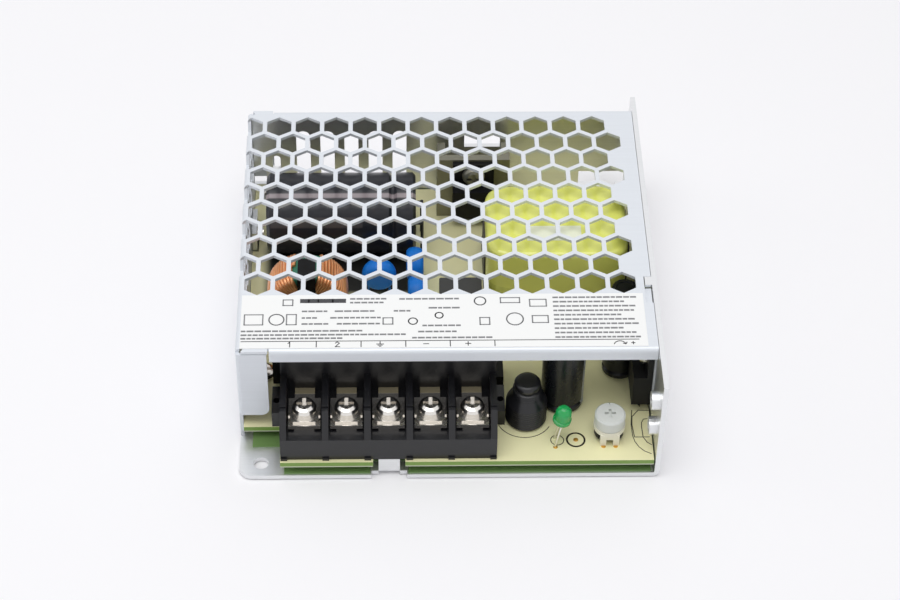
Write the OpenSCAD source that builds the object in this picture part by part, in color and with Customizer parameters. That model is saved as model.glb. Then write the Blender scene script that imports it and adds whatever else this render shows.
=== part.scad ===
// Enclosed switching power supply: folded chassis, hexagon mesh cover, circuit board and
// a screw terminal block. Millimetres, origin at the bottom centre of the case, +Z up,
// the terminals face -Y.

/* [Case] */
// Overall width, across the side walls
case_w = 97; // [94:1:120]
// Overall depth, from the front of the base plate to the rear foot
case_d = 99; // [97:1:130]
// Overall height, over the label
case_h = 30; // [29:0.5:40]
// Thickness of the chassis sheet
chassis_t = 1.2; // [1:0.1:1.5]
// Thickness of the cover sheet
cover_t = 0.8; // [0.6:0.1:1]
// Inner radius of the cover's bends
cover_bend_in = 0.2; // [0.1:0.05:0.5]
// Inner radius of the chassis bends
chassis_bend_in = 0.4; // [0.2:0.1:0.8]
// Open strip of base plate in front of the cover
apron_d = 12.1; // [11:0.1:14]
// Foot that stands out behind the rear wall
foot_d = 4.6; // [4.2:0.1:6]
// Length of the rear foot along the wall
foot_l = 13; // [10:0.5:18]
// Diameter of the holes in the two feet
foot_hole_d = 3.5; // [3:0.1:4.2]
// Distance of the foot holes from the side of the case
foot_hole_side = 5; // [4:0.1:6]
// Distance of the foot holes from the front and rear edge
foot_hole_edge = 3.8; // [3:0.1:4.5]
// Tapping diameter of the threaded holes
tap_d = 2.5; // [2.4:0.1:2.6]
// Distance from the base to the lower threaded hole in the side wall
side_tap_z = 12; // [10:0.5:13]
// Distance of the base's threaded holes from the sides of the case
base_tap_side = 10; // [9:0.5:18]
// Distance of the base's threaded holes from the front and the rear
base_tap_end = 18.5; // [17:0.5:24]
// Thickness of the printed label film
label_t = 0.15; // [0.1:0.05:0.3]

/* [Mesh] */
// Width of one hexagon across its flats
hex_flat = 6; // [4:0.1:7]
// Metal left between two hexagons
hex_web = 1.06; // [0.8:0.02:2]
// Plain strip between the mesh and the rear edge of the cover
mesh_rear = 2.4; // [1.5:0.1:6]
// Plain band between the mesh and the front edge of the cover
mesh_front = 17.5; // [12:0.1:24]
// Least plain strip between the mesh and the right edge of the cover
mesh_right = 3.6; // [3:0.1:6]

/* [Board] */
// Height of the board's underside above the table
board_z = 3.6; // [3.2:0.1:4.5]
// Thickness of the board
board_t = 1.6; // [1.2:0.2:2]
// Gap between the board's front edge and the front of the base plate
board_front = 0.4; // [0.2:0.1:1]
// Width of the cut-out in the board beside the foot
board_cut_w = 9.6; // [8:0.1:9.7]
// Thickness of the insulating sheet
sheet_t = 0.3; // [0.2:0.1:0.5]

/* [Terminals] */
// Width kept free for the output parts, from the block to the right side of the case
output_room = 37.7; // [36.5:0.1:40]
// Thickness of the barriers between the terminals
barrier_t = 1.5; // [1.2:0.1:1.6]
// Distance from the left side of the case to the block
block_left = 9.7; // [9.5:0.1:10.2]
// Distance from the front of the base plate to the front of the block
block_front = 1.3; // [1:0.1:2]
// Height of the barriers above the board
barrier_h = 12.8; // [12:0.1:14]
// Height of the front ledge above the board
ledge_h = 6.6; // [6:0.1:6.9]
// Height of the terminal plates' seat above the board
seat_h = 7.2; // [7:0.1:7.6]
// Thickness of the terminal plates
plate_t = 1; // [0.8:0.1:1.2]
// Thickness of the clamp washers
washer_t = 0.6; // [0.5:0.1:0.9]
// Diameter of the terminal screws' thread
screw_d = 3; // [2.5:0.1:3]
// Diameter of the terminal screws' head
screw_head_d = 5.6; // [5.2:0.1:6]
// Height of the terminal screws' head
screw_head_h = 2.2; // [2:0.1:2.6]

/* [Parts on the board] */
// Diameter of the bulk capacitor
bulk_d = 20; // [16:0.5:21]
// Length of the bulk capacitor
bulk_l = 36.5; // [25:0.5:37]
// Outer diameter of the common-mode choke's ring
ring_d = 17.6; // [14:0.2:18]
// Width of the ring along its axis
ring_w = 8; // [6:0.2:9]
// Diameter of the blue disc capacitors
disc_d = 8.4; // [7:0.1:8.6]
// Length of the transformer along the case's width
trafo_l = 34.2; // [30:0.2:35]
// Depth of the transformer
trafo_w = 25; // [20:0.2:26]
// Height of the transformer above the board
trafo_h = 21; // [18:0.1:22]
// Diameter of the large output capacitor
can_d = 10; // [8:0.1:10.4]
// Height of the large output capacitor
can_h = 20; // [14:0.5:22]
// Diameter of the small output capacitor
small_can_d = 8; // [6:0.1:8.2]
// Height of the small output capacitors
small_can_h = 15; // [10:0.5:20]
// Width of the heat sink
heat_w = 18; // [14:0.5:19]
// Height of the heat sink
heat_h = 19; // [16:0.5:22]
// Diameter of the rod inductor's winding
rod_d = 9.6; // [8:0.1:9.8]
// Diameter of the trimmer's knob
knob_d = 7.1; // [6:0.1:7.4]
// Thickness of the trimmer's knob
knob_t = 3.2; // [2.6:0.1:3.6]
// Diameter of the indicator lamp's lens
lamp_d = 3.8; // [3:0.1:4]

/* [Hidden] */
$fn = 48;
// a cut runs this far past the faces it opens
over = 0.5;
// clearance between folded sheets, and between a board and a wall
fold_gap = 0.1;
board_gap = 0.3;

// ---- case planes ----
x0 = -case_w / 2;
x1 = case_w / 2;
y0 = -case_d / 2;
y1 = case_d / 2;
chassis_bend = chassis_bend_in + chassis_t;
cover_bend = cover_bend_in + cover_t;
chassis_left = x0 + cover_t + fold_gap;
wall_in = x1 - chassis_t;
cover_right = wall_in - fold_gap;
cover_top = case_h - label_t;
cover_under = cover_top - cover_t;
cover_front = y0 + apron_d;
cover_rear = y1 - foot_d;
rear_out = cover_rear - cover_t - fold_gap;
rear_in = rear_out - chassis_t;
skirt_z = 0.3;

// ---- cover details ----
lip_h = 3.4;
front_flange_w = 7;
rear_flange_w = 5.9;
flange_z = 8.6;
flange_gap = 0.3;
mesh_low_z = 10;
bend_arc = PI / 2 * (cover_bend_in + cover_t * 0.4);
hex_r = hex_flat / sqrt(3);
hex_pitch = hex_flat + hex_web;
row_pitch = hex_pitch * sqrt(3) / 2;
first_row = cover_rear - mesh_rear - hex_r;
last_row = cover_front + mesh_front + hex_r;
rows = floor((first_row - last_row) / row_pitch) + 1;
bend_phase = 0.62;
top_columns = floor((cover_right - mesh_right - hex_flat / 2 - x0) / hex_pitch - bend_phase + 0.05);
first_column = x0 + (top_columns + bend_phase) * hex_pitch;
label_front = cover_front + cover_bend;
label_rear = first_row - (rows - 1) * row_pitch - hex_r - 0.2;
hook_y = cover_front + 14.8;
hook_d = 8.5;
hook_w = 1.7;
hook_tab_d = 2.9;

// ---- chassis details ----
boss_wall = 0.9;
boss_h = 1.8;
base_boss_z = board_z - 0.5;
foot_r = 3;
foot_slot_y = cover_rear + 2;
hole_relief = 0.6;
lug_w = 9;
lug_h = 11;
lug_y = [cover_front + 12, cover_rear - 20];
lug_screw_z = 7;
side_tap_y = [y0 + 5, y1 - 16];
press_boss_z = 20.5;
tab_x = x0 + 34.6;
tab_w = 4.9;
tab_cut_w = 8.2;
tab_cut_d = 1.2;
slot_w = 3.5;
slot_pitch = 6.05;
slot_count = 5;
slot_first = x0 + 13.5;
slot_z = [7.5, 24.9];
vent_z = [6, 11];
side_vent_w = 3;

// ---- board ----
board_top = board_z + board_t;
bx0 = chassis_left;
bx1 = wall_in - board_gap;
by0 = y0 + board_front;
by1 = rear_in - board_gap;
screw_hole_d = 3.2;
standoff_d = 5;
pan_d = 5.5;
pan_h = 1.8;
flat_head_d = 5.4;
thread_gap = 0.1;
board_cut_y = cover_front - 0.7;
standoffs = [[bx0 + 4.2, cover_front + 16], [x1 - 15.5, cover_front + 25.5],
             [bx0 + 4.2, by1 - 3.4], [bx1 - 3.4, by1 - 3.4]];

// ---- terminal block ----
cells = 5;
block_x = x0 + block_left;
block_w = case_w - block_left - output_room;
cell_pitch = (block_w - barrier_t) / cells;
cell_w = cell_pitch - barrier_t;
block_y = y0 + block_front;
ledge_z = board_top + ledge_h;
seat_z = board_top + seat_h;
barrier_z = board_top + barrier_h;
block_top = cover_under - 3;
plate_w = cell_w - 0.72;
plate_d = 8.6;
plate_y = block_y + 3;
tab_t = 0.8;
plate_tab_w = 4.6;
wall_y = plate_y + plate_d + 3.2;
block_back = wall_y + 2.4;
washer_d = cell_w - 0.82;
screw_y = plate_y + 4.4;
screw_gap = 0.15;
well_z = board_top + 1.2;
plate_top = seat_z + plate_t;
washer_top = plate_top + washer_t;
ear_w = 2.2;
ear_h = 4.7;
ear_d = 8.3;
ear_y = cover_front - 0.6;
function cell_x(i) = block_x + barrier_t / 2 + cell_pitch * (i + 0.5);

// ---- places on the board ----
lead_d = 0.7;
lead_gap = 2.4;
bulk_x = x0 + 5;
bulk_y = rear_in - 9.5 - bulk_d / 2;
bulk_z = board_top + bulk_d / 2;
winding_t = 1.1;
choke_x = x0 + 5.5 + ring_d / 2 + winding_t;
choke_y = cover_front + 32.7;
choke_z = board_top + 0.8 + ring_d / 2 + winding_t;
ring_hole_d = ring_d - 9;
disc_t = 4.2;
disc_z = board_top + lead_gap + disc_d / 2;
trafo_x = x1 - 4.8 - trafo_l;
trafo_y = (cover_front + rear_in - trafo_w) / 2 + 6.6;
primary_room = trafo_x - x0;
disc_1 = [x0 + 0.559 * primary_room, bulk_y - bulk_d / 2 - disc_d + 0.3];
disc_2 = [x0 + 0.71 * primary_room, bulk_y - bulk_d / 2 - disc_d / 2 - 0.4];
disc_3 = [disc_2[0] + 0.3, disc_2[1] - disc_d - 1.6];
flange_t = 3.2;
heat_y = rear_in - 10.2;
heat_t = 2;
package_w = 10.2;
package_t = 4.4;
transistor_x = x0 + 56;
rod_place = [block_x + block_w + ear_w + rod_d / 2 + 0.2, cover_front + 1.6];
can_place = [x1 - 21.8, cover_front + 7.2];
small_can_place = [x1 - 7.7, cover_front + 17];
mini_can_d = 6.5;
mini_can_place = [x1 - 6, trafo_y - 4.6];
lamp_place = [x1 - 24.1, y0 + 6];
lamp_lean = [1.4, 1.1];
lamp_z = board_top + 6.4;
trimmer_place = [x1 - 11.5, y0 + 8.3];
trimmer_h = 2.9;
knob_z = board_top + trimmer_h + 1.3;
pivot_d = 2.4;
rectifier_y = cover_front + 2.9;
pad_t = 0.3;
rectifier_z = board_top + 2.8;

// ---- helpers ----

// quarter ring that rounds an outer corner at the origin
module bend_2d(inner, t) {
    r = inner + t;
    translate([r, r]) intersection() {
        difference() {
            circle(r);
            circle(inner);
        }
        translate([-r, -r]) square(r);
    }
}

// section of a folded sheet: legs a and b from an outer corner at the origin
module fold_2d(a, b, inner, t) {
    r = inner + t;
    translate([r, 0]) square([a - r, t]);
    translate([0, r]) square([t, b - r]);
    bend_2d(inner, t);
}

// the same section, carried along +Y with its legs along +X and +Z
module fold_along_y(length, a, b, inner, t)
    translate([0, length, 0]) rotate([90, 0, 0]) linear_extrude(length) fold_2d(a, b, inner, t);

// the same section, carried along +X with its legs along +Y and +Z
module fold_along_x(length, a, b, inner, t)
    rotate([90, 0, 90]) linear_extrude(length) fold_2d(a, b, inner, t);

// rectangle with round corners
module round_rect(w, d, r) {
    translate([r, 0]) square([w - 2 * r, d]);
    translate([0, r]) square([w, d - 2 * r]);
    for (x = [r, w - r], y = [r, d - r]) translate([x, y]) circle(r);
}

// straight wire from p to q
module wire(p, q, d) {
    v = q - p;
    translate(p) rotate([0, acos(v[2] / norm(v)), atan2(v[1], v[0])]) cylinder(d = d, h = norm(v));
}

// leads straight down from height z to the board, at each place
module leads(places, z, d = lead_d)
    for (p = places) translate([p[0], p[1], board_top]) cylinder(d = d, h = z - board_top);

// cross recess that a screwdriver fits, cut down from the origin
module cross_recess(size, depth) {
    for (a = [0, 90]) rotate([0, 0, a])
        translate([-size / 2, -size / 8, -depth]) cube([size, size / 4, depth + over]);
}

// pan head above the origin and shank below it
module pan_screw(d, length, head_d, head_h) {
    difference() {
        rotate_extrude() polygon([[0, 0], [head_d / 2, 0], [head_d / 2, head_h * 0.45],
            [head_d * 0.43, head_h * 0.8], [head_d * 0.3, head_h], [0, head_h]]);
        translate([0, 0, head_h]) cross_recess(head_d * 0.62, head_h * 0.6);
    }
    translate([0, 0, -length]) cylinder(d = d, h = length);
}

// standing can with rolled rims, a groove above its seal and a sleeve
module can(d, h) {
    rotate_extrude() polygon([[0, 0], [d / 2 - 0.5, 0], [d / 2, 0.5], [d / 2, 1.4],
        [d / 2 - 0.5, 1.8], [d / 2 - 0.5, 2.2], [d / 2, 2.6], [d / 2, h - 0.4],
        [d / 2 - 0.4, h], [d / 2 - 1, h], [d / 2 - 1.2, h - 0.3], [0, h - 0.3]]);
}

// cone of a flat screw head, widest at the origin, in a sheet of thickness t along +Z
module countersink(t, gap = 0.05) rotate_extrude() polygon([[0, -over], [flat_head_d / 2 + gap,
    -over], [flat_head_d / 2 + gap, 0], [flat_head_d / 2 - t + gap, t],
    [flat_head_d / 2 - t + gap, t + over], [0, t + over]]);

// disc capacitor standing on two leads, its face towards the given turn about Z
module disc_capacitor(place, turn)
    translate([place[0], place[1], 0]) rotate([0, 0, turn]) {
        translate([0, 0, disc_z]) rotate([90, 0, 0]) rotate_extrude()
            polygon(concat([[0, -disc_t / 2]],
                [for (a = [-90:15:90]) [disc_d / 2 - disc_t * 0.3 + disc_t * 0.3 * cos(a),
                                        disc_t / 2 * sin(a)]],
                [[0, disc_t / 2]]));
        leads([[-disc_d * 0.3, 0], [disc_d * 0.3, 0]], disc_z - disc_d * 0.3, 0.6);
    }

// transistor package: body, mounting tab behind it (+Y) and three leads
module package(hole_z) {
    translate([-package_w / 2, 0, 0]) cube([package_w, package_t, 9]);
    translate([-package_w / 2, package_t - 1.3, 9]) difference() {
        cube([package_w, 1.3, 6.4]);
        translate([package_w / 2, -over, hole_z - 9]) rotate([-90, 0, 0])
            cylinder(d = 3.6, h = 1.3 + 2 * over);
    }
}

// ---- sheet metal ----

// centre of hexagon i in row j, measured on the unfolded sheet
function hex_x(i, j) = first_column - (j % 2 == 0 ? hex_pitch / 2 : 0) - i * hex_pitch;
function row_y(j) = first_row - j * row_pitch;
columns = ceil((first_column - x0 + cover_top - mesh_low_z) / hex_pitch);

module hexagon() rotate(30) circle(hex_r, $fn = 6);

module top_panel_2d() difference() {
    union() {
        translate([x0 + cover_bend, cover_front + cover_bend])
            square([cover_right - x0 - cover_bend, cover_rear - cover_front - 2 * cover_bend]);
        translate([x0 + cover_bend + flange_gap, cover_front])
            square([front_flange_w - cover_bend, cover_bend + over]);
        translate([x0 + cover_bend + flange_gap, cover_rear - cover_bend - over])
            square([rear_flange_w - cover_bend, cover_bend + over]);
    }
    for (j = [0:rows - 1], i = [0:columns])
        if (hex_x(i, j) + hex_flat / 2 > x0 + cover_bend)
            translate([hex_x(i, j), row_y(j)]) hexagon();
    translate([cover_right - hook_w, hook_y]) square([hook_w + over, hook_d]);
    for (y = [cover_front + cover_bend, cover_rear - cover_bend])
        translate([x0 + cover_bend, y]) circle(0.7);
}

// left side of the cover seen from outside: height along X, depth along Y
module side_panel_2d() difference() {
    translate([skirt_z, cover_front + cover_bend])
        square([cover_top - cover_bend - skirt_z, cover_rear - cover_front - 2 * cover_bend]);
    for (j = [0:rows - 1], i = [0:columns]) {
        z = cover_top - 2 * cover_bend + bend_arc + hex_x(i, j) - x0;
        if (z - hex_flat / 2 < cover_top - cover_bend && z - hex_flat / 2 > mesh_low_z)
            translate([z, row_y(j)]) hexagon();
    }
}

// bend at the cover's left edge, open where a hexagon runs right across it
module cover_bend_piece() difference() {
    translate([x0, cover_rear - cover_bend, cover_top]) mirror([0, 0, 1]) rotate([90, 0, 0])
        linear_extrude(cover_rear - cover_front - 2 * cover_bend)
            bend_2d(cover_bend_in, cover_t);
    for (j = [0:rows - 1], i = [0:columns])
        if (hex_x(i, j) - hex_flat / 2 < x0 - cover_bend
            && hex_x(i, j) + hex_flat / 2 > x0 + cover_bend)
            translate([hex_x(i, j), row_y(j), cover_top - 2 * cover_bend])
                linear_extrude(3 * cover_bend) rotate(30) circle(hex_r - 0.17, $fn = 6);
}

// lip along the front edge, from the flange to the right edge
module lip(start)
    translate([x0 + start + 2 * flange_gap, 0, cover_top]) mirror([0, 0, 1])
        fold_along_x(cover_right - x0 - start - 2 * flange_gap, cover_bend + over, lip_h,
                     cover_bend_in, cover_t);

// flange that turns the left side round its upright corner
module flange(w) {
    r = 2;
    translate([x0, 0, 0]) intersection() {
        translate([0, 0, flange_z]) linear_extrude(cover_top - cover_bend - flange_z)
            fold_2d(w, cover_bend + over, cover_bend_in, cover_t);
        rotate([90, 0, 0]) translate([0, 0, -cover_bend - 2 * over])
            linear_extrude(cover_bend + 4 * over) union() {
                translate([-over, flange_z + r]) square([w + 2 * over, case_h]);
                translate([-over, flange_z]) square([w + over - r, case_h]);
                translate([w - r, flange_z + r]) circle(r);
            }
    }
}

module cover() color([0.83, 0.85, 0.88]) difference() {
    union() {
        cover_sheet();
        // tongue pressed down below the hook of the side wall
        translate([cover_right - hook_w - 1, hook_y + 0.2, cover_under - cover_t])
            cube([hook_w + 0.9, hook_d - hook_tab_d - 0.5, cover_t]);
    }
    for (y = lug_y) translate([x0, y, lug_screw_z]) rotate([0, 90, 0])
        countersink(fold_gap + cover_t);
}

module cover_sheet() {
    translate([0, 0, cover_under]) linear_extrude(cover_t) top_panel_2d();
    cover_bend_piece();
    translate([x0 + cover_t, 0, 0]) rotate([0, -90, 0])
        linear_extrude(cover_t) side_panel_2d();
    translate([0, cover_front, 0]) {
        lip(front_flange_w);
        flange(front_flange_w);
    }
    translate([0, cover_rear, 0]) mirror([0, 1, 0]) {
        lip(rear_flange_w);
        flange(rear_flange_w);
    }
}

module label() color("white")
    translate([x0 + cover_bend, label_front, cover_top])
        cube([case_w - chassis_t - cover_bend - 2.4, label_rear - label_front, label_t]);

module slot_2d(w, low, high) {
    translate([-w / 2, low + w / 2]) square([w, high - low - w]);
    for (z = [low + w / 2, high - w / 2]) translate([0, z]) circle(d = w);
}

module base_2d() difference() {
    union() {
        translate([chassis_left, y0])
            square([x1 - chassis_bend - chassis_left, rear_out - chassis_bend - y0]);
        translate([x0, y0]) square([chassis_bend, cover_front - fold_gap - y0]);
        translate([x1 - foot_l, rear_out - chassis_bend - over])
            square([foot_l - chassis_bend, y1 - rear_out + chassis_bend + over]);
    }
    // round front corner of the foot
    translate([x0, y0]) difference() {
        translate([-over, -over]) square(foot_r + over);
        translate([foot_r, foot_r]) circle(foot_r);
    }
    for (y = lug_y) translate([chassis_left - over, y - lug_w / 2 - hole_relief])
        square([chassis_bend + over, lug_w + 2 * hole_relief]);
    translate([tab_x - tab_cut_w / 2, y0 - over]) square([tab_cut_w, tab_cut_d + over]);
    translate([tab_x - tab_w / 2, y0]) square([tab_w, tab_cut_d + chassis_bend]);
    translate([x0 + foot_hole_side, y0 + foot_hole_edge]) circle(d = foot_hole_d);
    translate([x1 - foot_hole_side, foot_slot_y]) circle(d = foot_hole_d);
    translate([x1 - foot_hole_side - foot_hole_d / 2, foot_slot_y])
        square([foot_hole_d, y1 - foot_slot_y + over]);
}

// rear wall seen from the front: width along X, height along Y
module rear_wall_2d() difference() {
    translate([chassis_left, chassis_bend])
        square([wall_in - 0.2 - chassis_left, cover_under - fold_gap - chassis_bend]);
    for (i = [0:slot_count - 1]) translate([slot_first + i * slot_pitch, 0])
        slot_2d(slot_w, slot_z[0], slot_z[1]);
    translate([x0 + 6.6, 0]) slot_2d(2, vent_z[1] + 1, vent_z[1] + 5.7);
    translate([chassis_left - over, vent_z[0] + 1])
        square([side_vent_w + over, vent_z[1] - vent_z[0] + 1]);
    translate([x0 + 54, slot_z[1] - 5.4]) square([9, 4]);
    translate([x1 - foot_l - hole_relief, 0]) square([foot_l + 2 * over, vent_z[1]]);
}

// ring drawn out of the sheet round a tapped hole, along +Z from the sheet's outer face
module boss(h) cylinder(d = tap_d + 2 * boss_wall, h = h);

module chassis_sheet() {
    linear_extrude(chassis_t) base_2d();
    // right side wall, with its fold along the whole base
    translate([x1, y0, 0]) mirror([1, 0, 0])
        fold_along_y(case_d, chassis_bend + over, case_h, chassis_bend_in, chassis_t);
    // rear wall
    translate([chassis_left, rear_out, 0]) mirror([0, 1, 0])
        fold_along_x(x1 - foot_l - hole_relief - chassis_left, chassis_bend + over,
                     chassis_bend + 0.2, chassis_bend_in, chassis_t);
    translate([0, rear_out, 0]) rotate([90, 0, 0]) linear_extrude(chassis_t) rear_wall_2d();
    // lugs that hold the cover's left side
    for (y = lug_y) translate([chassis_left, y - lug_w / 2, 0])
        fold_along_y(lug_w, chassis_bend + over, lug_h, chassis_bend_in, chassis_t);
    // tab that locates the board
    translate([tab_x - tab_w / 2, y0 + tab_cut_d, 0])
        fold_along_x(tab_w, chassis_bend + over, board_top, chassis_bend_in, chassis_t);
    // hook over the cover
    translate([cover_right - hook_w + 0.2, hook_y + hook_d - hook_tab_d, case_h - chassis_t])
        cube([hook_w - 0.1 + fold_gap, hook_tab_d - 0.2, chassis_t]);
}

base_taps = [for (x = [-1, 1], y = [-1, 1])
    [x * (case_w / 2 - base_tap_side), y * (case_d / 2 - base_tap_end)]];

module chassis() color([0.86, 0.87, 0.88]) difference() {
    union() {
        chassis_sheet();
        for (p = base_taps) translate(p) boss(base_boss_z);
        for (y = side_tap_y) translate([x1, y, side_tap_z]) rotate([0, -90, 0])
            boss(chassis_t + boss_h);
        translate([x1, side_tap_y[0], press_boss_z]) rotate([0, -90, 0])
            boss(chassis_t + boss_h);
    }
    for (p = base_taps) translate([p[0], p[1], -over]) cylinder(d = tap_d, h = case_h / 2);
    for (y = side_tap_y) translate([x1 + over, y, side_tap_z]) rotate([0, -90, 0])
        cylinder(d = tap_d, h = 8);
    translate([x1 + over, side_tap_y[0], press_boss_z]) rotate([0, -90, 0])
        cylinder(d = tap_d, h = 8);
    translate([x1 + over, rectifier_y + package_w / 2, rectifier_z + 12.2]) rotate([0, -90, 0])
        cylinder(d = tap_d, h = 8);
    for (y = lug_y) translate([x0, y, lug_screw_z]) rotate([0, 90, 0])
        cylinder(d = tap_d, h = 6);
}

module insulating_sheet() color([0.9, 0.9, 0.8, 0.6])
    translate([0, 0, chassis_t]) linear_extrude(sheet_t) difference() {
        translate([chassis_left + chassis_bend + 0.4, y0 + 0.4])
            square([wall_in - chassis_left - chassis_bend - chassis_bend_in - 0.8,
                    rear_in - y0 - chassis_bend - 1.4]);
        translate([x0, y0]) square([board_cut_w + 0.8, board_cut_y - y0 - 2.8]);
        translate([tab_x - tab_cut_w / 2 - 0.3, y0])
            square([tab_cut_w + 0.6, tab_cut_d + chassis_bend + 1.4]);
        for (p = standoffs) translate(p) circle(d = standoff_d + 1);
        for (p = base_taps) translate(p) circle(d = tap_d + 2 * boss_wall + 1);
    }

// ---- board and what holds it ----

module circuit_board() color([0.91, 0.89, 0.7])
    translate([0, 0, board_z]) linear_extrude(board_t) difference() {
        translate([bx0, by0]) square([bx1 - bx0, by1 - by0]);
        translate([x0 - over, y0 - over])
            square([board_cut_w + over, board_cut_y - y0 + over]);
        for (y = lug_y) translate([bx0 - over, y - lug_w / 2 - board_gap])
            square([chassis_t + board_gap + over, lug_w + 2 * board_gap]);
        translate([tab_x - tab_cut_w / 2 + 0.4, y0 - over])
            square([tab_cut_w - 0.8, tab_cut_d + chassis_t + board_gap + over]);
        for (p = standoffs) translate(p) circle(d = screw_hole_d);
    }

module board_standoffs() color("gainsboro")
    for (p = standoffs) translate([p[0], p[1], chassis_t]) difference() {
        cylinder(d = standoff_d, h = board_z - chassis_t);
        translate([0, 0, -over]) cylinder(d = tap_d, h = board_z);
    }

module board_screws() color("silver")
    for (p = standoffs) translate([p[0], p[1], board_top])
        pan_screw(tap_d - thread_gap, board_top - chassis_t - 0.3, pan_d, pan_h);

module cover_screws() color("silver")
    for (y = lug_y) translate([x0, y, lug_screw_z]) rotate([0, 90, 0]) {
        difference() {
            intersection() {
                countersink(cover_t + fold_gap, -0.05);
                cylinder(d = flat_head_d, h = cover_t + fold_gap);
            }
            rotate([180, 0, 0]) cross_recess(2.6, 0.5);
        }
        cylinder(d = tap_d - thread_gap, h = cover_t + fold_gap + chassis_t + 1.5);
    }

// ---- terminals ----

// outline seen from the side: depth along X, height along Y, drawn along +X
module side_outline(length) rotate([90, 0, 90]) linear_extrude(length) children();

module terminal_block() color([0.2, 0.2, 0.22]) difference() {
    union() {
        // bed, front ledge and rear wall
        translate([block_x, 0, 0]) side_outline(block_w) polygon([[block_y, board_top],
            [block_back, board_top], [block_back, block_top], [wall_y, block_top],
            [wall_y, seat_z], [plate_y + tab_t + 0.1, seat_z], [plate_y + tab_t + 0.1, ledge_z],
            [block_y, ledge_z]]);
        for (i = [0:cells]) translate([block_x + i * cell_pitch, 0, 0]) side_outline(barrier_t)
            polygon([[block_y, board_top], [wall_y + over, board_top], [wall_y + over, barrier_z],
                [block_y + 4.8, barrier_z], [block_y + 4.8, barrier_z - 0.4],
                [block_y + 3.8, barrier_z - 0.4], [block_y, ledge_z]]);
        // feet under the barriers
        for (i = [0:cells]) translate([block_x + i * cell_pitch, block_y - 0.4, board_top])
            cube([barrier_t, 0.4 + over, 0.7]);
        for (x = [block_x - ear_w, block_x + block_w]) translate([x, ear_y, board_top])
            cube([ear_w, ear_d, ear_h]);
    }
    for (i = [0:cells - 1]) translate([cell_x(i), screw_y, well_z])
        cylinder(d = screw_d + 1.4, h = seat_z - well_z + over);
    for (x = [block_x - ear_w / 2 - 0.1, block_x + block_w + ear_w / 2 + 0.1])
        translate([x, ear_y + 3.9, board_top - over]) cylinder(d = 1.6, h = ear_h + 2 * over);
}

module terminal_plate(i) color("silver") translate([cell_x(i), 0, 0]) difference() {
    union() {
        translate([-plate_w / 2, plate_y, seat_z]) cube([plate_w, plate_d, plate_t]);
        translate([-plate_tab_w / 2, plate_y, seat_z])
            cube([plate_tab_w, wall_y - plate_y, plate_t]);
        translate([-plate_tab_w / 2, plate_y, ledge_z])
            cube([plate_tab_w, tab_t, seat_z - ledge_z + over]);
    }
    translate([0, screw_y, seat_z - over])
        cylinder(d = screw_d + 2 * screw_gap, h = plate_t + 2 * over);
}

// clamp washer: round, dished up at its middle, cut flat towards the barriers' feet
// square clamp with its corners taken off and two sides turned up
module clamp_washer(i) color("gainsboro") translate([cell_x(i), screw_y, plate_top]) {
    w = washer_d / 2;
    difference() {
        linear_extrude(washer_t) intersection() {
            square(2 * w, center = true);
            circle(w * 1.22);
        }
        translate([0, 0, -over]) cylinder(d = screw_d + 2 * screw_gap, h = washer_t + 2 * over);
    }
    for (x = [-w, w - 0.4]) translate([x, -2.1, 0]) cube([0.4, 4.2, washer_t + 0.45]);
}

module terminal_screw(i) color("silver") translate([cell_x(i), screw_y, washer_top])
    pan_screw(screw_d, washer_top - well_z - 0.5, screw_head_d, screw_head_h);

// ---- primary side ----

module bulk_capacitor() color([0.2, 0.21, 0.26]) {
    r = bulk_d / 2;
    translate([bulk_x, bulk_y, bulk_z]) rotate([0, 90, 0]) rotate_extrude() polygon([[0, 0.4],
        [r - 2, 0.4], [r - 1.6, 0], [r - 0.8, 0], [r, 0.8], [r, bulk_l - 6.6],
        [r - 0.7, bulk_l - 5.9], [r - 0.7, bulk_l - 5.3], [r, bulk_l - 4.6], [r, bulk_l - 0.7],
        [r - 0.7, bulk_l], [0, bulk_l]]);
    for (y = [-3.8, 3.8]) {
        translate([bulk_x + bulk_l, bulk_y + y, bulk_z]) rotate([0, 90, 0])
            cylinder(d = 0.8, h = 1.8);
        translate([bulk_x + bulk_l + 1.6, bulk_y + y, board_top])
            cylinder(d = 0.8, h = bulk_z - board_top + 0.4);
    }
}

// section of the choke's ring, or of the winding round it when grown by t
module ring_section(t) {
    w = ring_w + 2 * t;
    translate([ring_hole_d / 2 - t, -w / 2])
        round_rect((ring_d - ring_hole_d) / 2 + 2 * t, w, 0.6 + t);
}

module choke_frame() translate([choke_x, choke_y, choke_z]) rotate([90, 0, 0]) children();

module choke_core() color([0.25, 0.55, 0.35]) choke_frame()
    rotate_extrude() ring_section(0);

// one winding covers this much of the ring on each side
module choke_winding(turn) color([0.8, 0.5, 0.3]) {
    choke_frame() rotate([0, 0, turn - 60]) rotate_extrude(angle = 120) difference() {
        ring_section(winding_t);
        ring_section(0);
    }
    side = turn == 0 ? 1 : -1;
    leads([for (y = [-ring_w / 2, ring_w / 2])
        [choke_x + side * ring_d * 0.28, choke_y + y * 1.05]], choke_z - ring_d * 0.38, 1);
}

module choke_winding_left() choke_winding(180);
module choke_winding_right() choke_winding(0);

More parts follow.
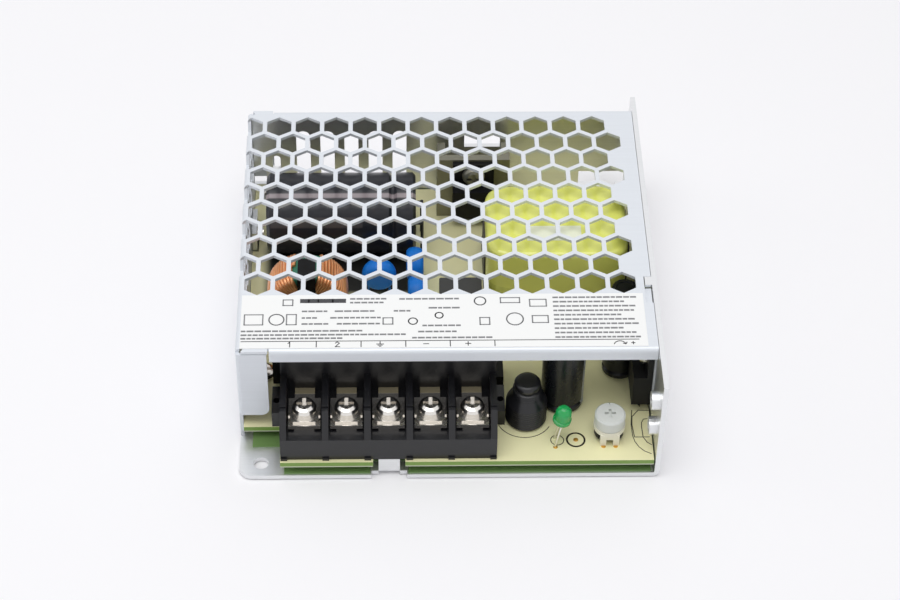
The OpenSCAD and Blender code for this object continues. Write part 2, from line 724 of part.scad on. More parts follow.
// divider between the two windings: a plate through the ring, a post and a cap over its front
module choke_divider() color([0.12, 0.12, 0.13]) translate([choke_x, choke_y, choke_z]) {
    w = 4.2;
    front = -ring_w / 2 - 1.6;
    translate([-0.9, front, 0.4 - ring_hole_d / 2])
        cube([1.8, 2 * abs(front), ring_hole_d - 0.8]);
    translate([-0.9, front, board_top - choke_z])
        cube([1.8, 1.5, choke_z - board_top + ring_hole_d / 2 + 0.2]);
    translate([-w / 2, front, ring_hole_d / 2 + 0.1])
        cube([w, 1.5, (ring_d - ring_hole_d) / 2 + 0.9]);
    translate([-w / 2, front, ring_d / 2 + 0.05]) cube([w, ring_w - 1, 0.95]);
}

module disc_capacitor_1() color([0.15, 0.42, 0.8]) disc_capacitor(disc_1, 0);
module disc_capacitor_2() color([0.15, 0.42, 0.8]) disc_capacitor(disc_2, 90);
module disc_capacitor_3() color([0.15, 0.42, 0.8]) disc_capacitor(disc_3, 90);

// box of the interference capacitor, on two leads
module box_capacitor() color([0.36, 0.36, 0.37]) {
    w = 10.2;
    d = 5.4;
    translate([trafo_x - w - 0.9, trafo_y - 1.8, board_top + 0.5])
        linear_extrude(9.6) round_rect(w, d, 0.5);
    leads([for (x = [2, w - 2]) [trafo_x - w - 0.9 + x, trafo_y - 1.8 + d / 2]],
          board_top + 0.5);
}

module power_transistor() color([0.12, 0.12, 0.13]) {
    translate([transistor_x, heat_y - package_t, board_top + 3]) package(12.2);
    leads([for (x = [-2.54, 0, 2.54]) [transistor_x + x, heat_y - package_t / 2]],
          board_top + 3);
}

// folded plate behind the transistor, with two feet on the board
module heat_sink() color([0.75, 0.76, 0.78]) difference() {
    union() {
        translate([transistor_x - heat_w / 2, heat_y, board_top]) cube([heat_w, heat_t, heat_h]);
        for (x = [-heat_w / 2, heat_w / 2 - heat_t])
            translate([transistor_x + x, heat_y, board_top]) cube([heat_t, 6.5, heat_h]);
    }
    translate([transistor_x, heat_y - over, board_top + 15.2]) rotate([-90, 0, 0])
        cylinder(d = tap_d, h = heat_t + 2 * over);
}

// screw that holds a package's tab; the tab's thickness is 1.3
module tab_screw(length) pan_screw(tap_d - thread_gap, length, pan_d, pan_h);

module transistor_screw() color("silver")
    translate([transistor_x, heat_y - 1.3, board_top + 15.2]) rotate([90, 0, 0])
        tab_screw(1.3 + heat_t);

module fuse() color([0.15, 0.13, 0.12]) {
    translate([x0 + 28.5, cover_front + 12.5, board_top + 0.6]) cylinder(d = 8.4, h = 7.4);
    leads([for (x = [-2.5, 2.5]) [x0 + 28.5 + x, cover_front + 12.5]], board_top + 0.6);
}

module thermistor() color([0.13, 0.2, 0.16]) {
    place = [x0 + 41, cover_front + 12.5];
    translate([place[0], place[1] + 2.2, board_top + 3 + 4.6]) rotate([90, 0, 0])
        rotate_extrude() polygon([[0, 0], [3.9, 0], [4.6, 0.7], [4.6, 3.7], [3.9, 4.4],
            [0, 4.4]]);
    leads([for (x = [-2.5, 2.5]) [place[0] + x, place[1]]], board_top + 4.5);
}

module bridge_rectifier() color([0.14, 0.14, 0.15]) {
    place = [x0 + 7.5, cover_front + 11];
    translate([place[0], place[1], board_top + 2]) cube([15, 3.6, 11]);
    leads([for (k = [0:3]) [place[0] + 2 + k * 3.7, place[1] + 1.8]], board_top + 2);
}

module optocoupler() color([0.14, 0.14, 0.15]) {
    place = [x0 + 57, cover_front + 11];
    translate([place[0], place[1], board_top + 0.4]) cube([4.6, 6.5, 3.4]);
    leads([for (x = [0.3, 4.3], y = [2, 4.5]) [place[0] + x, place[1] + y]],
          board_top + 0.4, 0.5);
}

// ---- transformer ----

module transformer_core() color([0.3, 0.29, 0.28])
    translate([trafo_x - 0.2, trafo_y + trafo_w * 0.24, board_top + flange_t + 3.4])
        cube([trafo_l + 0.6, trafo_w * 0.52, trafo_h - flange_t - 6.6]);

// moulded base with two rows of pins
module transformer_bobbin() color([0.12, 0.12, 0.13]) {
    translate([trafo_x, trafo_y - 0.7, board_top + 0.6]) difference() {
        linear_extrude(flange_t - 0.6) round_rect(trafo_l, trafo_w + 1.4, 1);
        for (k = [0:5]) translate([trafo_l * (k + 0.5) / 6 - 1.5, -over, -over])
            cube([3, 1.6 + over, 1.4]);
    }
    leads([for (k = [0:5], y = [1.6, trafo_w - 1.6])
        [trafo_x + trafo_l * (k + 0.5) / 6, trafo_y + y]], board_top + 0.6, 0.8);
}

// taped winding: bevelled body with rounded upper edges, open for the core at both ends
module transformer_winding() color([0.92, 0.95, 0.5]) difference() {
    bevel = 4.5;
    h = trafo_h - flange_t;
    translate([trafo_x, trafo_y, board_top + flange_t]) intersection() {
        linear_extrude(h) polygon([[bevel, 0], [trafo_l - bevel, 0], [trafo_l, bevel],
            [trafo_l, trafo_w - bevel], [trafo_l - bevel, trafo_w], [bevel, trafo_w],
            [0, trafo_w - bevel], [0, bevel]]);
        translate([-over, 0, 0]) side_outline(trafo_l + 2 * over) {
            round_rect(trafo_w, h, 2.2);
            square([trafo_w, h / 2]);
        }
    }
    translate([trafo_x - 1, trafo_y + trafo_w * 0.24, board_top + flange_t + 3.4])
        cube([trafo_l + 2, trafo_w * 0.52, trafo_h - flange_t - 6.6]);
}

// ---- secondary side ----

module output_rectifier() color([0.12, 0.12, 0.13]) {
    translate([wall_in - pad_t - package_t, rectifier_y + package_w / 2, rectifier_z])
        rotate([0, 0, -90]) package(12.2);
    leads([for (y = [-2.54, 0, 2.54])
        [wall_in - pad_t - package_t / 2, rectifier_y + package_w / 2 + y]], rectifier_z);
}

module rectifier_pad() color([0.6, 0.62, 0.64]) difference() {
    translate([wall_in - pad_t, rectifier_y - 0.8, rectifier_z - 0.8])
        cube([pad_t, package_w + 1.6, 17]);
    translate([wall_in - 2, rectifier_y + package_w / 2, rectifier_z + 12.2]) rotate([0, 90, 0])
        cylinder(d = screw_hole_d, h = 4);
}

module rectifier_screw() color("silver")
    translate([wall_in - pad_t - 1.3, rectifier_y + package_w / 2, rectifier_z + 12.2])
        rotate([0, -90, 0]) tab_screw(1.3 + pad_t + chassis_t);

// rod inductor: wire body under a shrunk sleeve that necks in to its core
module rod_inductor() color([0.17, 0.18, 0.2]) {
    r = rod_d / 2;
    translate([rod_place[0], rod_place[1], board_top + 0.4]) rotate_extrude() polygon([[0, 0],
        [r - 0.8, 0], [r - 0.2, 0.5], [r, 1.6], [r, 6.2], [r - 0.4, 7.4], [r - 1.4, 8.4],
        [r - 1.5, 9.6], [r - 1.9, 9.9], [r - 1.9, 10.2], [r - 1.7, 10.4], [r - 1.7, 12],
        [r - 2, 12.4], [0, 12.4]]);
    leads([for (x = [-2.4, 2.4]) rod_place + [x, 0]], board_top + 0.4, 1);
}

module board_can(place, d, h) {
    translate([place[0], place[1], board_top + 0.2]) can(d, h);
    leads([for (x = [-d / 4, d / 4]) place + [x, 0]], board_top + 0.2, 0.6);
}

module output_capacitor_1() color([0.13, 0.14, 0.17])
    board_can(can_place, can_d, can_h);
module output_capacitor_2() color([0.1, 0.1, 0.12])
    board_can(small_can_place, small_can_d, small_can_h);
module output_capacitor_3() color([0.1, 0.1, 0.12])
    board_can(mini_can_place, mini_can_d, small_can_h - 0.6);

module indicator_lamp() color([0.1, 0.65, 0.3])
    translate([lamp_place[0] + lamp_lean[0], lamp_place[1] + lamp_lean[1], lamp_z]) rotate([4, 6, 0])
        rotate_extrude() polygon(concat([[0, 0], [lamp_d / 2 + 0.25, 0],
            [lamp_d / 2 + 0.25, 0.8], [lamp_d / 2, 0.9], [lamp_d / 2, 2.7]],
            [for (a = [15:15:90]) [lamp_d / 2 * cos(a), 2.7 + lamp_d / 2 * sin(a)]]));

module lamp_leads() color("silver")
    for (y = [-1.27, 1.27])
        wire([lamp_place[0], lamp_place[1] + y, board_top],
             [lamp_place[0] + lamp_lean[0], lamp_place[1] + lamp_lean[1] + y * 0.8, lamp_z - 0.15], 0.5);

// dark base under the knob, cut flat where the frame's legs pass
module trimmer_base() color([0.13, 0.13, 0.14])
    translate([trimmer_place[0], trimmer_place[1], board_top + 1]) difference() {
        intersection() {
            cylinder(d = knob_d - 0.3, h = trimmer_h - 1);
            translate([-knob_d, 1.35 - knob_d / 2, 0]) cube([2 * knob_d, knob_d - 2.45, 4]);
        }
        translate([0, 0, -over]) cylinder(d = pivot_d, h = 5);
    }

// pale frame: ring over the track, two front legs and one rear leg
module trimmer_frame() color([0.9, 0.88, 0.78])
    translate([trimmer_place[0], trimmer_place[1], board_top]) {
        difference() {
            translate([0, 0, trimmer_h]) cylinder(d = knob_d + 0.2, h = 1.2);
            translate([0, 0, trimmer_h - 0.3]) cylinder(d = pivot_d, h = 2);
        }
        for (x = [-2.2, 0.8]) translate([x, -knob_d / 2 + 0.1, 0])
            cube([1.4, 1.2, trimmer_h + over]);
        translate([-2.2, -knob_d / 2 + 0.1, trimmer_h - 1]) cube([4.4, 1.2, 1 + over]);
        translate([-1.2, knob_d / 2 - 0.9, 0]) cube([2.4, 0.7, trimmer_h + over]);
    }

// knob on its pivot, with a cross recess and a short index groove
module trimmer_knob() color([0.85, 0.86, 0.85])
    translate([trimmer_place[0], trimmer_place[1], knob_z]) {
        difference() {
            rotate_extrude() polygon([[0, 0], [knob_d / 2 - 0.1, 0], [knob_d / 2, 0.1],
                [knob_d / 2, knob_t - 0.4], [knob_d / 2 - 0.4, knob_t], [0, knob_t]]);
            translate([0, 0, knob_t]) cross_recess(2.6, 0.7);
            translate([-0.15, knob_d / 2 - 1.4, knob_t - 0.3]) cube([0.3, 1, 1]);
        }
        translate([0, 0, -3]) cylinder(d = pivot_d - 0.2, h = 3);
    }

chassis();
cover();
label();
insulating_sheet();
circuit_board();
board_standoffs();
board_screws();
cover_screws();
terminal_block();
for (i = [1:cells]) {
    terminal_plate(i - 1);
    clamp_washer(i - 1);
    terminal_screw(i - 1);
}
bulk_capacitor();
choke_core();
choke_winding_left();
choke_winding_right();
choke_divider();
disc_capacitor_1();
disc_capacitor_2();
disc_capacitor_3();
box_capacitor();
power_transistor();
heat_sink();
transistor_screw();
transformer_core();
transformer_bobbin();
transformer_winding();
rod_inductor();
output_capacitor_1();
output_capacitor_2();
output_capacitor_3();
indicator_lamp();
lamp_leads();
trimmer_base();
trimmer_frame();
trimmer_knob();
fuse();
thermistor();
bridge_rectifier();
optocoupler();
output_rectifier();
rectifier_pad();
rectifier_screw();
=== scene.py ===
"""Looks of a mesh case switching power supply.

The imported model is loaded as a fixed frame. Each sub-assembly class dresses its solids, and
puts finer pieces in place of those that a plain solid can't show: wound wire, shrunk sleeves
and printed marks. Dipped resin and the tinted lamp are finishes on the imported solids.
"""
import logging
import math
from dataclasses import dataclass, field
from enum import Enum
from typing import Sequence

import bmesh
import bpy
import numpy as np
from mathutils import Matrix, Vector

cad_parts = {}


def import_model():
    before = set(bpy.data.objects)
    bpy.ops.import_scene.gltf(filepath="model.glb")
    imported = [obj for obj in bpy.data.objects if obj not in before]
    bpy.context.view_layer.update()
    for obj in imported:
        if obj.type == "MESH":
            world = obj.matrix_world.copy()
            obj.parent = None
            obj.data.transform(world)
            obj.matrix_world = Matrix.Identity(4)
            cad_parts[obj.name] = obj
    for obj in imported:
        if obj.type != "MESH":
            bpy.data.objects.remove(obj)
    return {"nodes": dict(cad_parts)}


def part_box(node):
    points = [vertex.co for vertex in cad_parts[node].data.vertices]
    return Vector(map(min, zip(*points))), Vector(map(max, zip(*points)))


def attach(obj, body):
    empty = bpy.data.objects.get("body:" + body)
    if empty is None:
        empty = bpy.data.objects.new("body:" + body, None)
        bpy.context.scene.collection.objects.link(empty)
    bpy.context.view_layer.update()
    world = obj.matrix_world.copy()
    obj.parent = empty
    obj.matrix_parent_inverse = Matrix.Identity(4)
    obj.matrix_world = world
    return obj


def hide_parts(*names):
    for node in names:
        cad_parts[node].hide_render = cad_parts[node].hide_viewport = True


LOG = logging.getLogger("power_supply")

Pair = tuple[float, float]
Triple = tuple[float, float, float]
Row = tuple[float, float, float, float]
Colour = Triple
Line = Sequence[Pair]
Shape = tuple[np.ndarray, np.ndarray]
Socket = bpy.types.NodeSocket

MM = 0.001
PER_METRE = 1000.0
ORIGIN = (0.0, 0.0, 0.0)
EVEN = (1.0, 1.0, 1.0)
MERGE_DISTANCE = 2e-7  # metres
SHORTEST_EDGE = 1e-8  # metres
SHARP_ANGLE = 40.0  # degrees
INK_DEPTH = 0.02  # millimetres, as are the next three
INK_ROOT = 0.01
DASH_GAP = 0.55
DASH_MARGIN = 0.5
DASH_SHORTEST = 0.35  # share of the longest dash
COAT_ROUGH = 0.12
ROUGH_SPAN = (0.85, 1.15)


class Axis(Enum):
    """Axis that a turned piece is turned about."""

    X = 0
    Y = 1
    Z = 2


class Weave(Enum):
    """Way that a finish breaks up its surface."""

    ROLLED = "fine lines along one direction"
    MOULDED = "even fine grain"
    SMOOTH = "slow waves only"


GRAIN_PATCHES = {Weave.ROLLED: 900.0, Weave.MOULDED: 4200.0, Weave.SMOOTH: 260.0}


# -------- shapes


def weld(name: str, points: np.ndarray, faces: np.ndarray,
         smooth: float = SHARP_ANGLE) -> bpy.types.Object:
    """Make one object from points and faces, with its doubles merged and its faces outwards.

    Args:
        name: name of the object and its mesh.
        points: n by 3 array, in metres.
        faces: m by 4 array of point numbers; a repeated number is merged away.
        smooth: edges flatter than this many degrees are shaded smooth.

    Returns:
        The object, linked to the scene, at the origin.
    """
    mesh = bpy.data.meshes.new(name)
    mesh.from_pydata(points.tolist(), [], faces.tolist())
    work = bmesh.new()
    work.from_mesh(mesh)
    bmesh.ops.remove_doubles(work, verts=work.verts, dist=MERGE_DISTANCE)
    bmesh.ops.dissolve_degenerate(work, edges=work.edges, dist=SHORTEST_EDGE)
    bmesh.ops.recalc_face_normals(work, faces=work.faces)
    work.to_mesh(mesh)
    work.free()
    mesh.polygons.foreach_set("use_smooth", np.ones(len(mesh.polygons), dtype=bool))
    mesh.set_sharp_from_angle(angle=math.radians(smooth))
    mesh.update()
    piece = bpy.data.objects.new(name, mesh)
    bpy.context.scene.collection.objects.link(piece)
    return piece


def grid_faces(rows: int, columns: int) -> np.ndarray:
    """Number the four corners of each cell of a grid of points, each row joined into a ring.

    Args:
        rows: number of point rows.
        columns: number of points in a row.

    Returns:
        An array of cells by 4.
    """
    row = np.arange(rows - 1)[:, None] * columns
    here = row + np.arange(columns)
    beside = row + (np.arange(columns) + 1) % columns
    cells = np.stack([here, beside, beside + columns, here + columns], axis=-1)
    return cells.reshape(-1, 4)


def turned(profile: Sequence[Pair], centre: Sequence[float], axis: Axis,
           segments: int) -> Shape:
    """Turn a profile once round an axis.

    Point (k, t) is the centre, plus the profile's height k along the axis, plus its radius k in
    the direction at angle t across the axis. A radius of zero closes the shape.

    Args:
        profile: radius and height pairs, in millimetres.
        centre: a point on the axis, in millimetres.
        axis: axis of the turn.
        segments: points round the turn.

    Returns:
        Points in metres and faces.
    """
    rh = np.asarray(profile, dtype=float)
    t = np.linspace(0.0, 2.0 * np.pi, segments, endpoint=False)
    out = np.zeros((len(rh), segments, 3))
    n = axis.value
    out[..., n] = rh[:, 1:2]
    out[..., (n + 1) % 3] = rh[:, 0:1] * np.cos(t)
    out[..., (n + 2) % 3] = rh[:, 0:1] * np.sin(t)
    out += np.asarray(centre, dtype=float)
    return out.reshape(-1, 3) * MM, grid_faces(len(rh), segments)


def tube(path: np.ndarray, lean: np.ndarray, radius: float, sides: int) -> Shape:
    """Carry a circle along a path.

    At each path point the circle lies across the path's direction, its first axis as near to the
    leaning vector as that allows. Both ends are drawn in to a point.

    Args:
        path: n by 3 points in millimetres.
        lean: n by 3 vectors, never along the path.
        radius: of the circle, in millimetres.
        sides: points round the circle.

    Returns:
        Points in metres and faces.
    """
    along = np.gradient(path, axis=0)
    along /= np.linalg.norm(along, axis=1, keepdims=True)
    first = lean - along * np.sum(lean * along, axis=1, keepdims=True)
    first /= np.linalg.norm(first, axis=1, keepdims=True)
    second = np.cross(along, first)
    t = np.linspace(0.0, 2.0 * np.pi, sides, endpoint=False)
    size = np.concatenate([[0.0], np.full(len(path), radius), [0.0]])
    path, first, second = (np.concatenate([rows[:1], rows, rows[-1:]])
                           for rows in (path, first, second))
    ring = (first[:, None, :] * np.cos(t)[None, :, None]
            + second[:, None, :] * np.sin(t)[None, :, None])
    points = path[:, None, :] + ring * size[:, None, None]
    return points.reshape(-1, 3) * MM, grid_faces(len(path), sides)


def joined(parts: Sequence[Shape]) -> Shape:
    """Put several shapes into one.

    Args:
        parts: points and faces of each.

    Returns:
        All points, and all faces with their point numbers moved on.
    """
    counts = np.cumsum([0] + [len(p) for p, _ in parts])
    return (np.concatenate([p for p, _ in parts]),
            np.concatenate([f + c for (_, f), c in zip(parts, counts)]))


def strokes(lines: Sequence[Line], width: float, z: float, thick: float = INK_DEPTH) -> Shape:
    """Draw flat strokes as thin boxes lying on a level face.

    Each stretch of a line becomes a box: its corners are the stretch's two ends, moved half the
    width to each side, at two heights. The ends run on by a third of the width to meet.

    Args:
        lines: lists of x, y points, in millimetres.
        width: of the stroke, in millimetres.
        z: height of the face, in millimetres.
        thick: how far the ink stands out of the face, in millimetres.

    Returns:
        Points in metres and faces.
    """
    a = np.concatenate([np.asarray(line[:-1], dtype=float) for line in lines])
    b = np.concatenate([np.asarray(line[1:], dtype=float) for line in lines])
    along = b - a
    along /= np.linalg.norm(along, axis=1, keepdims=True)
    a, b = a - along * width / 3, b + along * width / 3
    side = np.stack([-along[:, 1], along[:, 0]], axis=1) * width / 2
    flat = np.stack([a - side, b - side, b + side, a + side], axis=1)
    low = np.concatenate([flat, np.full(flat.shape[:2] + (1,), z - INK_ROOT)], axis=2)
    high = np.concatenate([flat, np.full(flat.shape[:2] + (1,), z + thick)], axis=2)
    points = np.concatenate([low, high], axis=1).reshape(-1, 3)
    box = np.array([[0, 3, 2, 1], [4, 5, 6, 7], [0, 1, 5, 4],
                    [1, 2, 6, 5], [2, 3, 7, 6], [3, 0, 4, 7]])
    faces = (box[None] + 8 * np.arange(len(a))[:, None, None]).reshape(-1, 4)
    return points * MM, faces


def arc(x: float, y: float, radius: float, start: float, end: float, count: int = 40) -> Line:
    """Points of an arc round x, y from one angle in degrees to another."""
    t = np.radians(np.linspace(start, end, count))
    return list(zip(x + radius * np.cos(t), y + radius * np.sin(t)))


def placed(lines: Sequence[Line], x: float, y: float) -> list[Line]:
    """Move lines by x and y."""
    return [[(x + u, y + v) for u, v in line] for line in lines]


def dashes(rows: Sequence[Row], seed: int) -> list[Line]:
    """Break straight rows into short dashes of uneven length, like lines of small print.

    Args:
        rows: x from, x to, y and longest dash of each row, in millimetres.
        seed: start of the random numbers.

    Returns:
        One two-point line for each dash.
    """
    chance = np.random.default_rng(seed)
    lines = []
    for low, high, y, longest in rows:
        x = low
        while x < high - DASH_MARGIN:
            end = min(high, x + longest * chance.uniform(DASH_SHORTEST, 1.0))
            lines.append([(x, y), (end, y)])
            x = end + DASH_GAP
    return lines


# -------- finishes


class Wiring:
    """Short calls for one node tree."""

    def __init__(self, owner: bpy.types.ID) -> None:
        """Empty the node tree of a material or a world.

        Args:
            owner: the material or world.
        """
        owner.use_nodes = True
        self.tree = owner.node_tree
        self.tree.nodes.clear()

    def fill(self, socket: Socket, value: object) -> None:
        """Link a socket to another, or set a plain value."""
        if isinstance(value, Socket):
            self.tree.links.new(value, socket)
        else:
            socket.default_value = value

    def node(self, kind: str, inputs: dict[int | str, object] | None = None,
             **options: object) -> bpy.types.Node:
        """Add a node.

        Args:
            kind: its type, without the usual prefix.
            inputs: sockets or plain values for its inputs.
            options: its settings, which come before its inputs.

        Returns:
            The node.
        """
        node = self.tree.nodes.new("ShaderNode" + kind)
        for option, value in options.items():
            setattr(node, option, value)
        for socket, value in (inputs or {}).items():
            self.fill(node.inputs[socket], value)
        return node


class Bench(Wiring):
    """Node tree of one material, with the patterns that the finishes share."""

    def __init__(self, name: str) -> None:
        """Start a material with a Principled shader.

        Args:
            name: name of the material.
        """
        self.material = bpy.data.materials.new(name)
        super().__init__(self.material)
        self.shader = self.node("BsdfPrincipled")
        self.node("OutputMaterial", {0: self.shader.outputs[0]})
        self.place = self.node("TexCoord").outputs["Object"]

    def surface(self, values: dict[str, object]) -> None:
        """Fill inputs of the shader, by name."""
        for socket, value in values.items():
            self.fill(self.shader.inputs[socket], value)

    def times(self, a: Socket, b: Socket | float) -> Socket:
        """Product of two values."""
        return self.node("Math", {0: a, 1: b}, operation="MULTIPLY").outputs[0]

    def stretched(self, scale: Sequence[float], centre: Sequence[float] = ORIGIN) -> Socket:
        """Object coordinates moved by a centre in metres, then scaled along each axis."""
        start = tuple(-c * s for c, s in zip(centre, scale))
        return self.node("Mapping", {"Vector": self.place, "Scale": scale,
                                     "Location": start}).outputs[0]

    def noise(self, patches: float, detail: float, stretch: Sequence[float]) -> Socket:
        """Cloudy values from 0 to 1, with this many patches to the metre."""
        return self.node("TexNoise", {"Vector": self.stretched(stretch), "Scale": patches,
                                      "Detail": detail}).outputs[0]

    def places(self, centre: Sequence[float] = ORIGIN) -> bpy.types.bpy_prop_collection:
        """The three object coordinates, in millimetres from a centre in millimetres."""
        spread = self.stretched((PER_METRE,) * 3, [c * MM for c in centre])
        return self.node("SeparateXYZ", {0: spread}).outputs

    def step(self, value: Socket, low: float, high: float) -> Socket:
        """Rise smoothly from 0 at low to 1 at high, or fall where high is the smaller."""
        rising = float(low < high)
        ramp = self.node("MapRange", {
            "Value": value, "From Min": min(low, high), "From Max": max(low, high),
            "To Min": 1.0 - rising, "To Max": rising}, interpolation_type="SMOOTHSTEP")
        return ramp.outputs["Result"]

    def band(self, value: Socket, low: float, high: float, soft: float) -> Socket:
        """1 between low and high, 0 outside, with edges this soft."""
        return self.times(self.step(value, low - soft, low + soft),
                          self.step(value, high + soft, high - soft))

    def blend(self, factor: Socket, first: Socket | Colour, second: Socket | Colour) -> Socket:
        """Mix two colours."""
        first, second = ((*c, 1.0) if isinstance(c, tuple) else c for c in (first, second))
        return self.node("Mix", {0: factor, 6: first, 7: second}, data_type="RGBA").outputs[2]

    def span(self, factor: Socket, low: float, high: float) -> Socket:
        """Map 0 to 1 onto low to high."""
        return self.node("MapRange", {"Value": factor, "To Min": low,
                                      "To Max": high}).outputs["Result"]

    def relief(self, height: Socket, depth: float) -> None:
        """Raise the surface by a height from 0 to 1 times depth in millimetres."""
        bump = self.node("Bump", {"Strength": 1.0, "Distance": depth * MM, "Height": height})
        self.surface({"Normal": bump.outputs[0]})


@dataclass(frozen=True)
class Finish:
    """A plain surface: its colour drifts a little, its roughness varies, and its skin has grain.

    Attributes:
        name: name of the material.
        colour: mean base colour.
        rough: mean roughness.
        metal: metallic share.
        drift: share by which the colour drifts each way.
        patch: patches of drift to the metre.
        grain: depth of the grain, in millimetres.
        weave: way that the surface is broken up.
        coat: weight of the clear coat.
        specular: specular level.
        run: stretch of the patches on a rolled surface.
    """

    name: str
    colour: Colour
    rough: float = 0.5
    metal: float = 0.0
    drift: float = 0.06
    patch: float = 300.0
    grain: float = 0.004
    weave: Weave = Weave.MOULDED
    coat: float = 0.0
    specular: float = 0.5
    run: Triple = (1.0, 40.0, 40.0)

    @property
    def stretch(self) -> Triple:
        """Stretch of the patches: along the rolling lines, or none."""
        return self.run if self.weave is Weave.ROLLED else EVEN

    def tint(self, bench: Bench) -> Socket:
        """Colour of the surface.

        Args:
            bench: material in the making.

        Returns:
            The colour's socket.
        """
        darker = tuple(c * (1.0 - self.drift) for c in self.colour)
        lighter = tuple(min(1.0, c * (1.0 + self.drift)) for c in self.colour)
        return bench.blend(bench.noise(self.patch, 3.0, self.stretch), darker, lighter)

    def make(self) -> bpy.types.Material:
        """Build the material."""
        bench = Bench(self.name)
        fine = bench.noise(GRAIN_PATCHES[self.weave], 3.0, self.stretch)
        low, high = (min(1.0, self.rough * share) for share in ROUGH_SPAN)
        bench.surface({"Base Color": self.tint(bench), "Metallic": self.metal,
                       "Roughness": bench.span(fine, low, high),
                       "Specular IOR Level": self.specular, "Coat Weight": self.coat,
                       "Coat Roughness": COAT_ROUGH})
        bench.relief(fine, self.grain)
        self.extra(bench)
        return bench.material

    def extra(self, bench: Bench) -> None:
        """Anything more that a finish needs; none here."""


@dataclass(frozen=True)
class Sleeve(Finish):
    """Shrunk sleeve of a can: a paler stripe down one side, and a painted highlight along it, a
    thin pale line in place of a reflection.

    Attributes:
        centre: a point on the can's axis, in millimetres.
        axis: axis of the can.
        stripe: the stripe's two angles, in degrees.
        span_mm: its two ends along the axis.
        line: the painted highlight's two angles; equal where there is none.
        softness: of the stripe's sides, the stripe's ends and the painted highlight's sides.
        painted_highlight_strength: how much of the painted highlight's colour shows.
    """

    centre: Triple = (0.0, 0.0, 0.0)
    axis: Axis = Axis.Z
    stripe: Pair = (0.0, 30.0)
    stripe_colour: Colour = (0.1, 0.1, 0.11)
    span_mm: Pair = (0.0, 20.0)
    line: Pair = (0.0, 0.0)
    painted_highlight_colour: Colour = (0.4, 0.4, 0.4)
    softness: Triple = (1.2, 0.15, 1.5)
    painted_highlight_strength: float = 0.8

    def tint(self, bench: Bench) -> Socket:
        """Colour of the sleeve, by the angle about its axis and the place along it, with its
        painted highlight.
        """
        base = Finish.tint(self, bench)
        n = self.axis.value
        places = bench.places(self.centre)
        turn = bench.node("Math", {0: places[(n + 2) % 3], 1: places[(n + 1) % 3]},
                          operation="ARCTAN2").outputs[0]
        degrees = bench.times(turn, 180.0 / math.pi)
        side, end, light = self.softness
        mask = bench.times(bench.band(degrees, *self.stripe, side),
                           bench.band(places[n], *self.span_mm, end))
        striped = bench.blend(mask, base, self.stripe_colour)
        if self.line[0] == self.line[1]:
            return striped
        # Painted highlight: a pale band at fixed angles round the axis, in place of a reflection.
        thin = bench.times(bench.band(degrees, *self.line, light), self.painted_highlight_strength)
        return bench.blend(thin, striped, self.painted_highlight_colour)


@dataclass(frozen=True)
class BoardFace(Finish):
    """Circuit board: pale upper face with a painted shadow under the bulk capacitor, green edge
    with a light foot.

    Attributes:
        edge: colour of the edge.
        line: colour of the light line along its foot.
        top: height of the upper face, in millimetres.
        thick: thickness of the board.
        foot: heights over the lower face between which the line ends.
        skin: depths under the upper face between which the face's colour starts.
        painted_shadow: X and Y limits of the painted shadow, a dark patch where the bulk
            capacitor's shade falls.
        painted_shadow_soft: softness of its sides.
    """

    edge: Colour = (0.2, 0.34, 0.06)
    line: Colour = (0.62, 0.66, 0.5)
    top: float = 5.2
    thick: float = 1.6
    foot: Pair = (0.25, 0.35)
    skin: Pair = (0.02, 0.05)
    painted_shadow: tuple[Pair, Pair] = ((-44.0, -8.0), (5.0, 22.0))
    painted_shadow_soft: float = 1.5
    painted_shadow_colour: Colour = (0.02, 0.02, 0.018)

    def tint(self, bench: Bench) -> Socket:
        """Colour of the board, by height: face, edge and foot line, with the painted shadow on the
        face.
        """
        x, y, z = bench.places()
        low = self.top - self.thick
        edge = bench.blend(bench.step(z, low + self.foot[1], low + self.foot[0]),
                           self.edge, self.line)
        # Painted shadow: the face is darkened under the bulk capacitor.
        painted_shadow = bench.times(bench.band(x, *self.painted_shadow[0], self.painted_shadow_soft),
                           bench.band(y, *self.painted_shadow[1], self.painted_shadow_soft))
        face = bench.blend(painted_shadow, Finish.tint(self, bench), self.painted_shadow_colour)
        depth = bench.step(z, self.top - self.skin[1], self.top - self.skin[0])
        return bench.blend(depth, edge, face)


@dataclass(frozen=True)
class TabbedPlate(Finish):
    """Bright nickel, dull and tan on the solder tab, between two places along Y in millimetres."""

    tab: Pair = (-35.3, -33.0)
    tab_soft: float = 0.15
    tab_colour: Colour = (0.36, 0.31, 0.2)
    tab_metal: float = 0.1

    def on_tab(self, bench: Bench) -> Socket:
        """1 on the tab, 0 on the plate."""
        return bench.band(bench.places()[Axis.Y.value], *self.tab, self.tab_soft)

    def tint(self, bench: Bench) -> Socket:
        """Colour of the plate, tan on the tab."""
        return bench.blend(self.on_tab(bench), Finish.tint(self, bench), self.tab_colour)

    def extra(self, bench: Bench) -> None:
        """Take most of the metal's mirror off the tab."""
        bench.surface({"Metallic": bench.span(self.on_tab(bench), self.metal, self.tab_metal)})


@dataclass(frozen=True)
class TapeWrap(Finish):
    """Film tape wound round a coil: overlapping turns show as faint level lines.

    Attributes:
        layers: overlaps to the metre.
        lie: their stretch, flat and wide.
        overlap: noise values between which an overlap starts.
        deeper: share of the colour left there.
    """

    layers: float = 55.0
    lie: Triple = (0.25, 0.25, 6.0)
    overlap: Pair = (0.52, 0.56)
    deeper: float = 0.86

    def tint(self, bench: Bench) -> Socket:
        """Colour of the tape, a little deeper where turns overlap."""
        base = Finish.tint(self, bench)
        layers = bench.noise(self.layers, 1.0, self.lie)
        return bench.blend(bench.step(layers, *self.overlap), base,
                           tuple(c * self.deeper for c in self.colour))


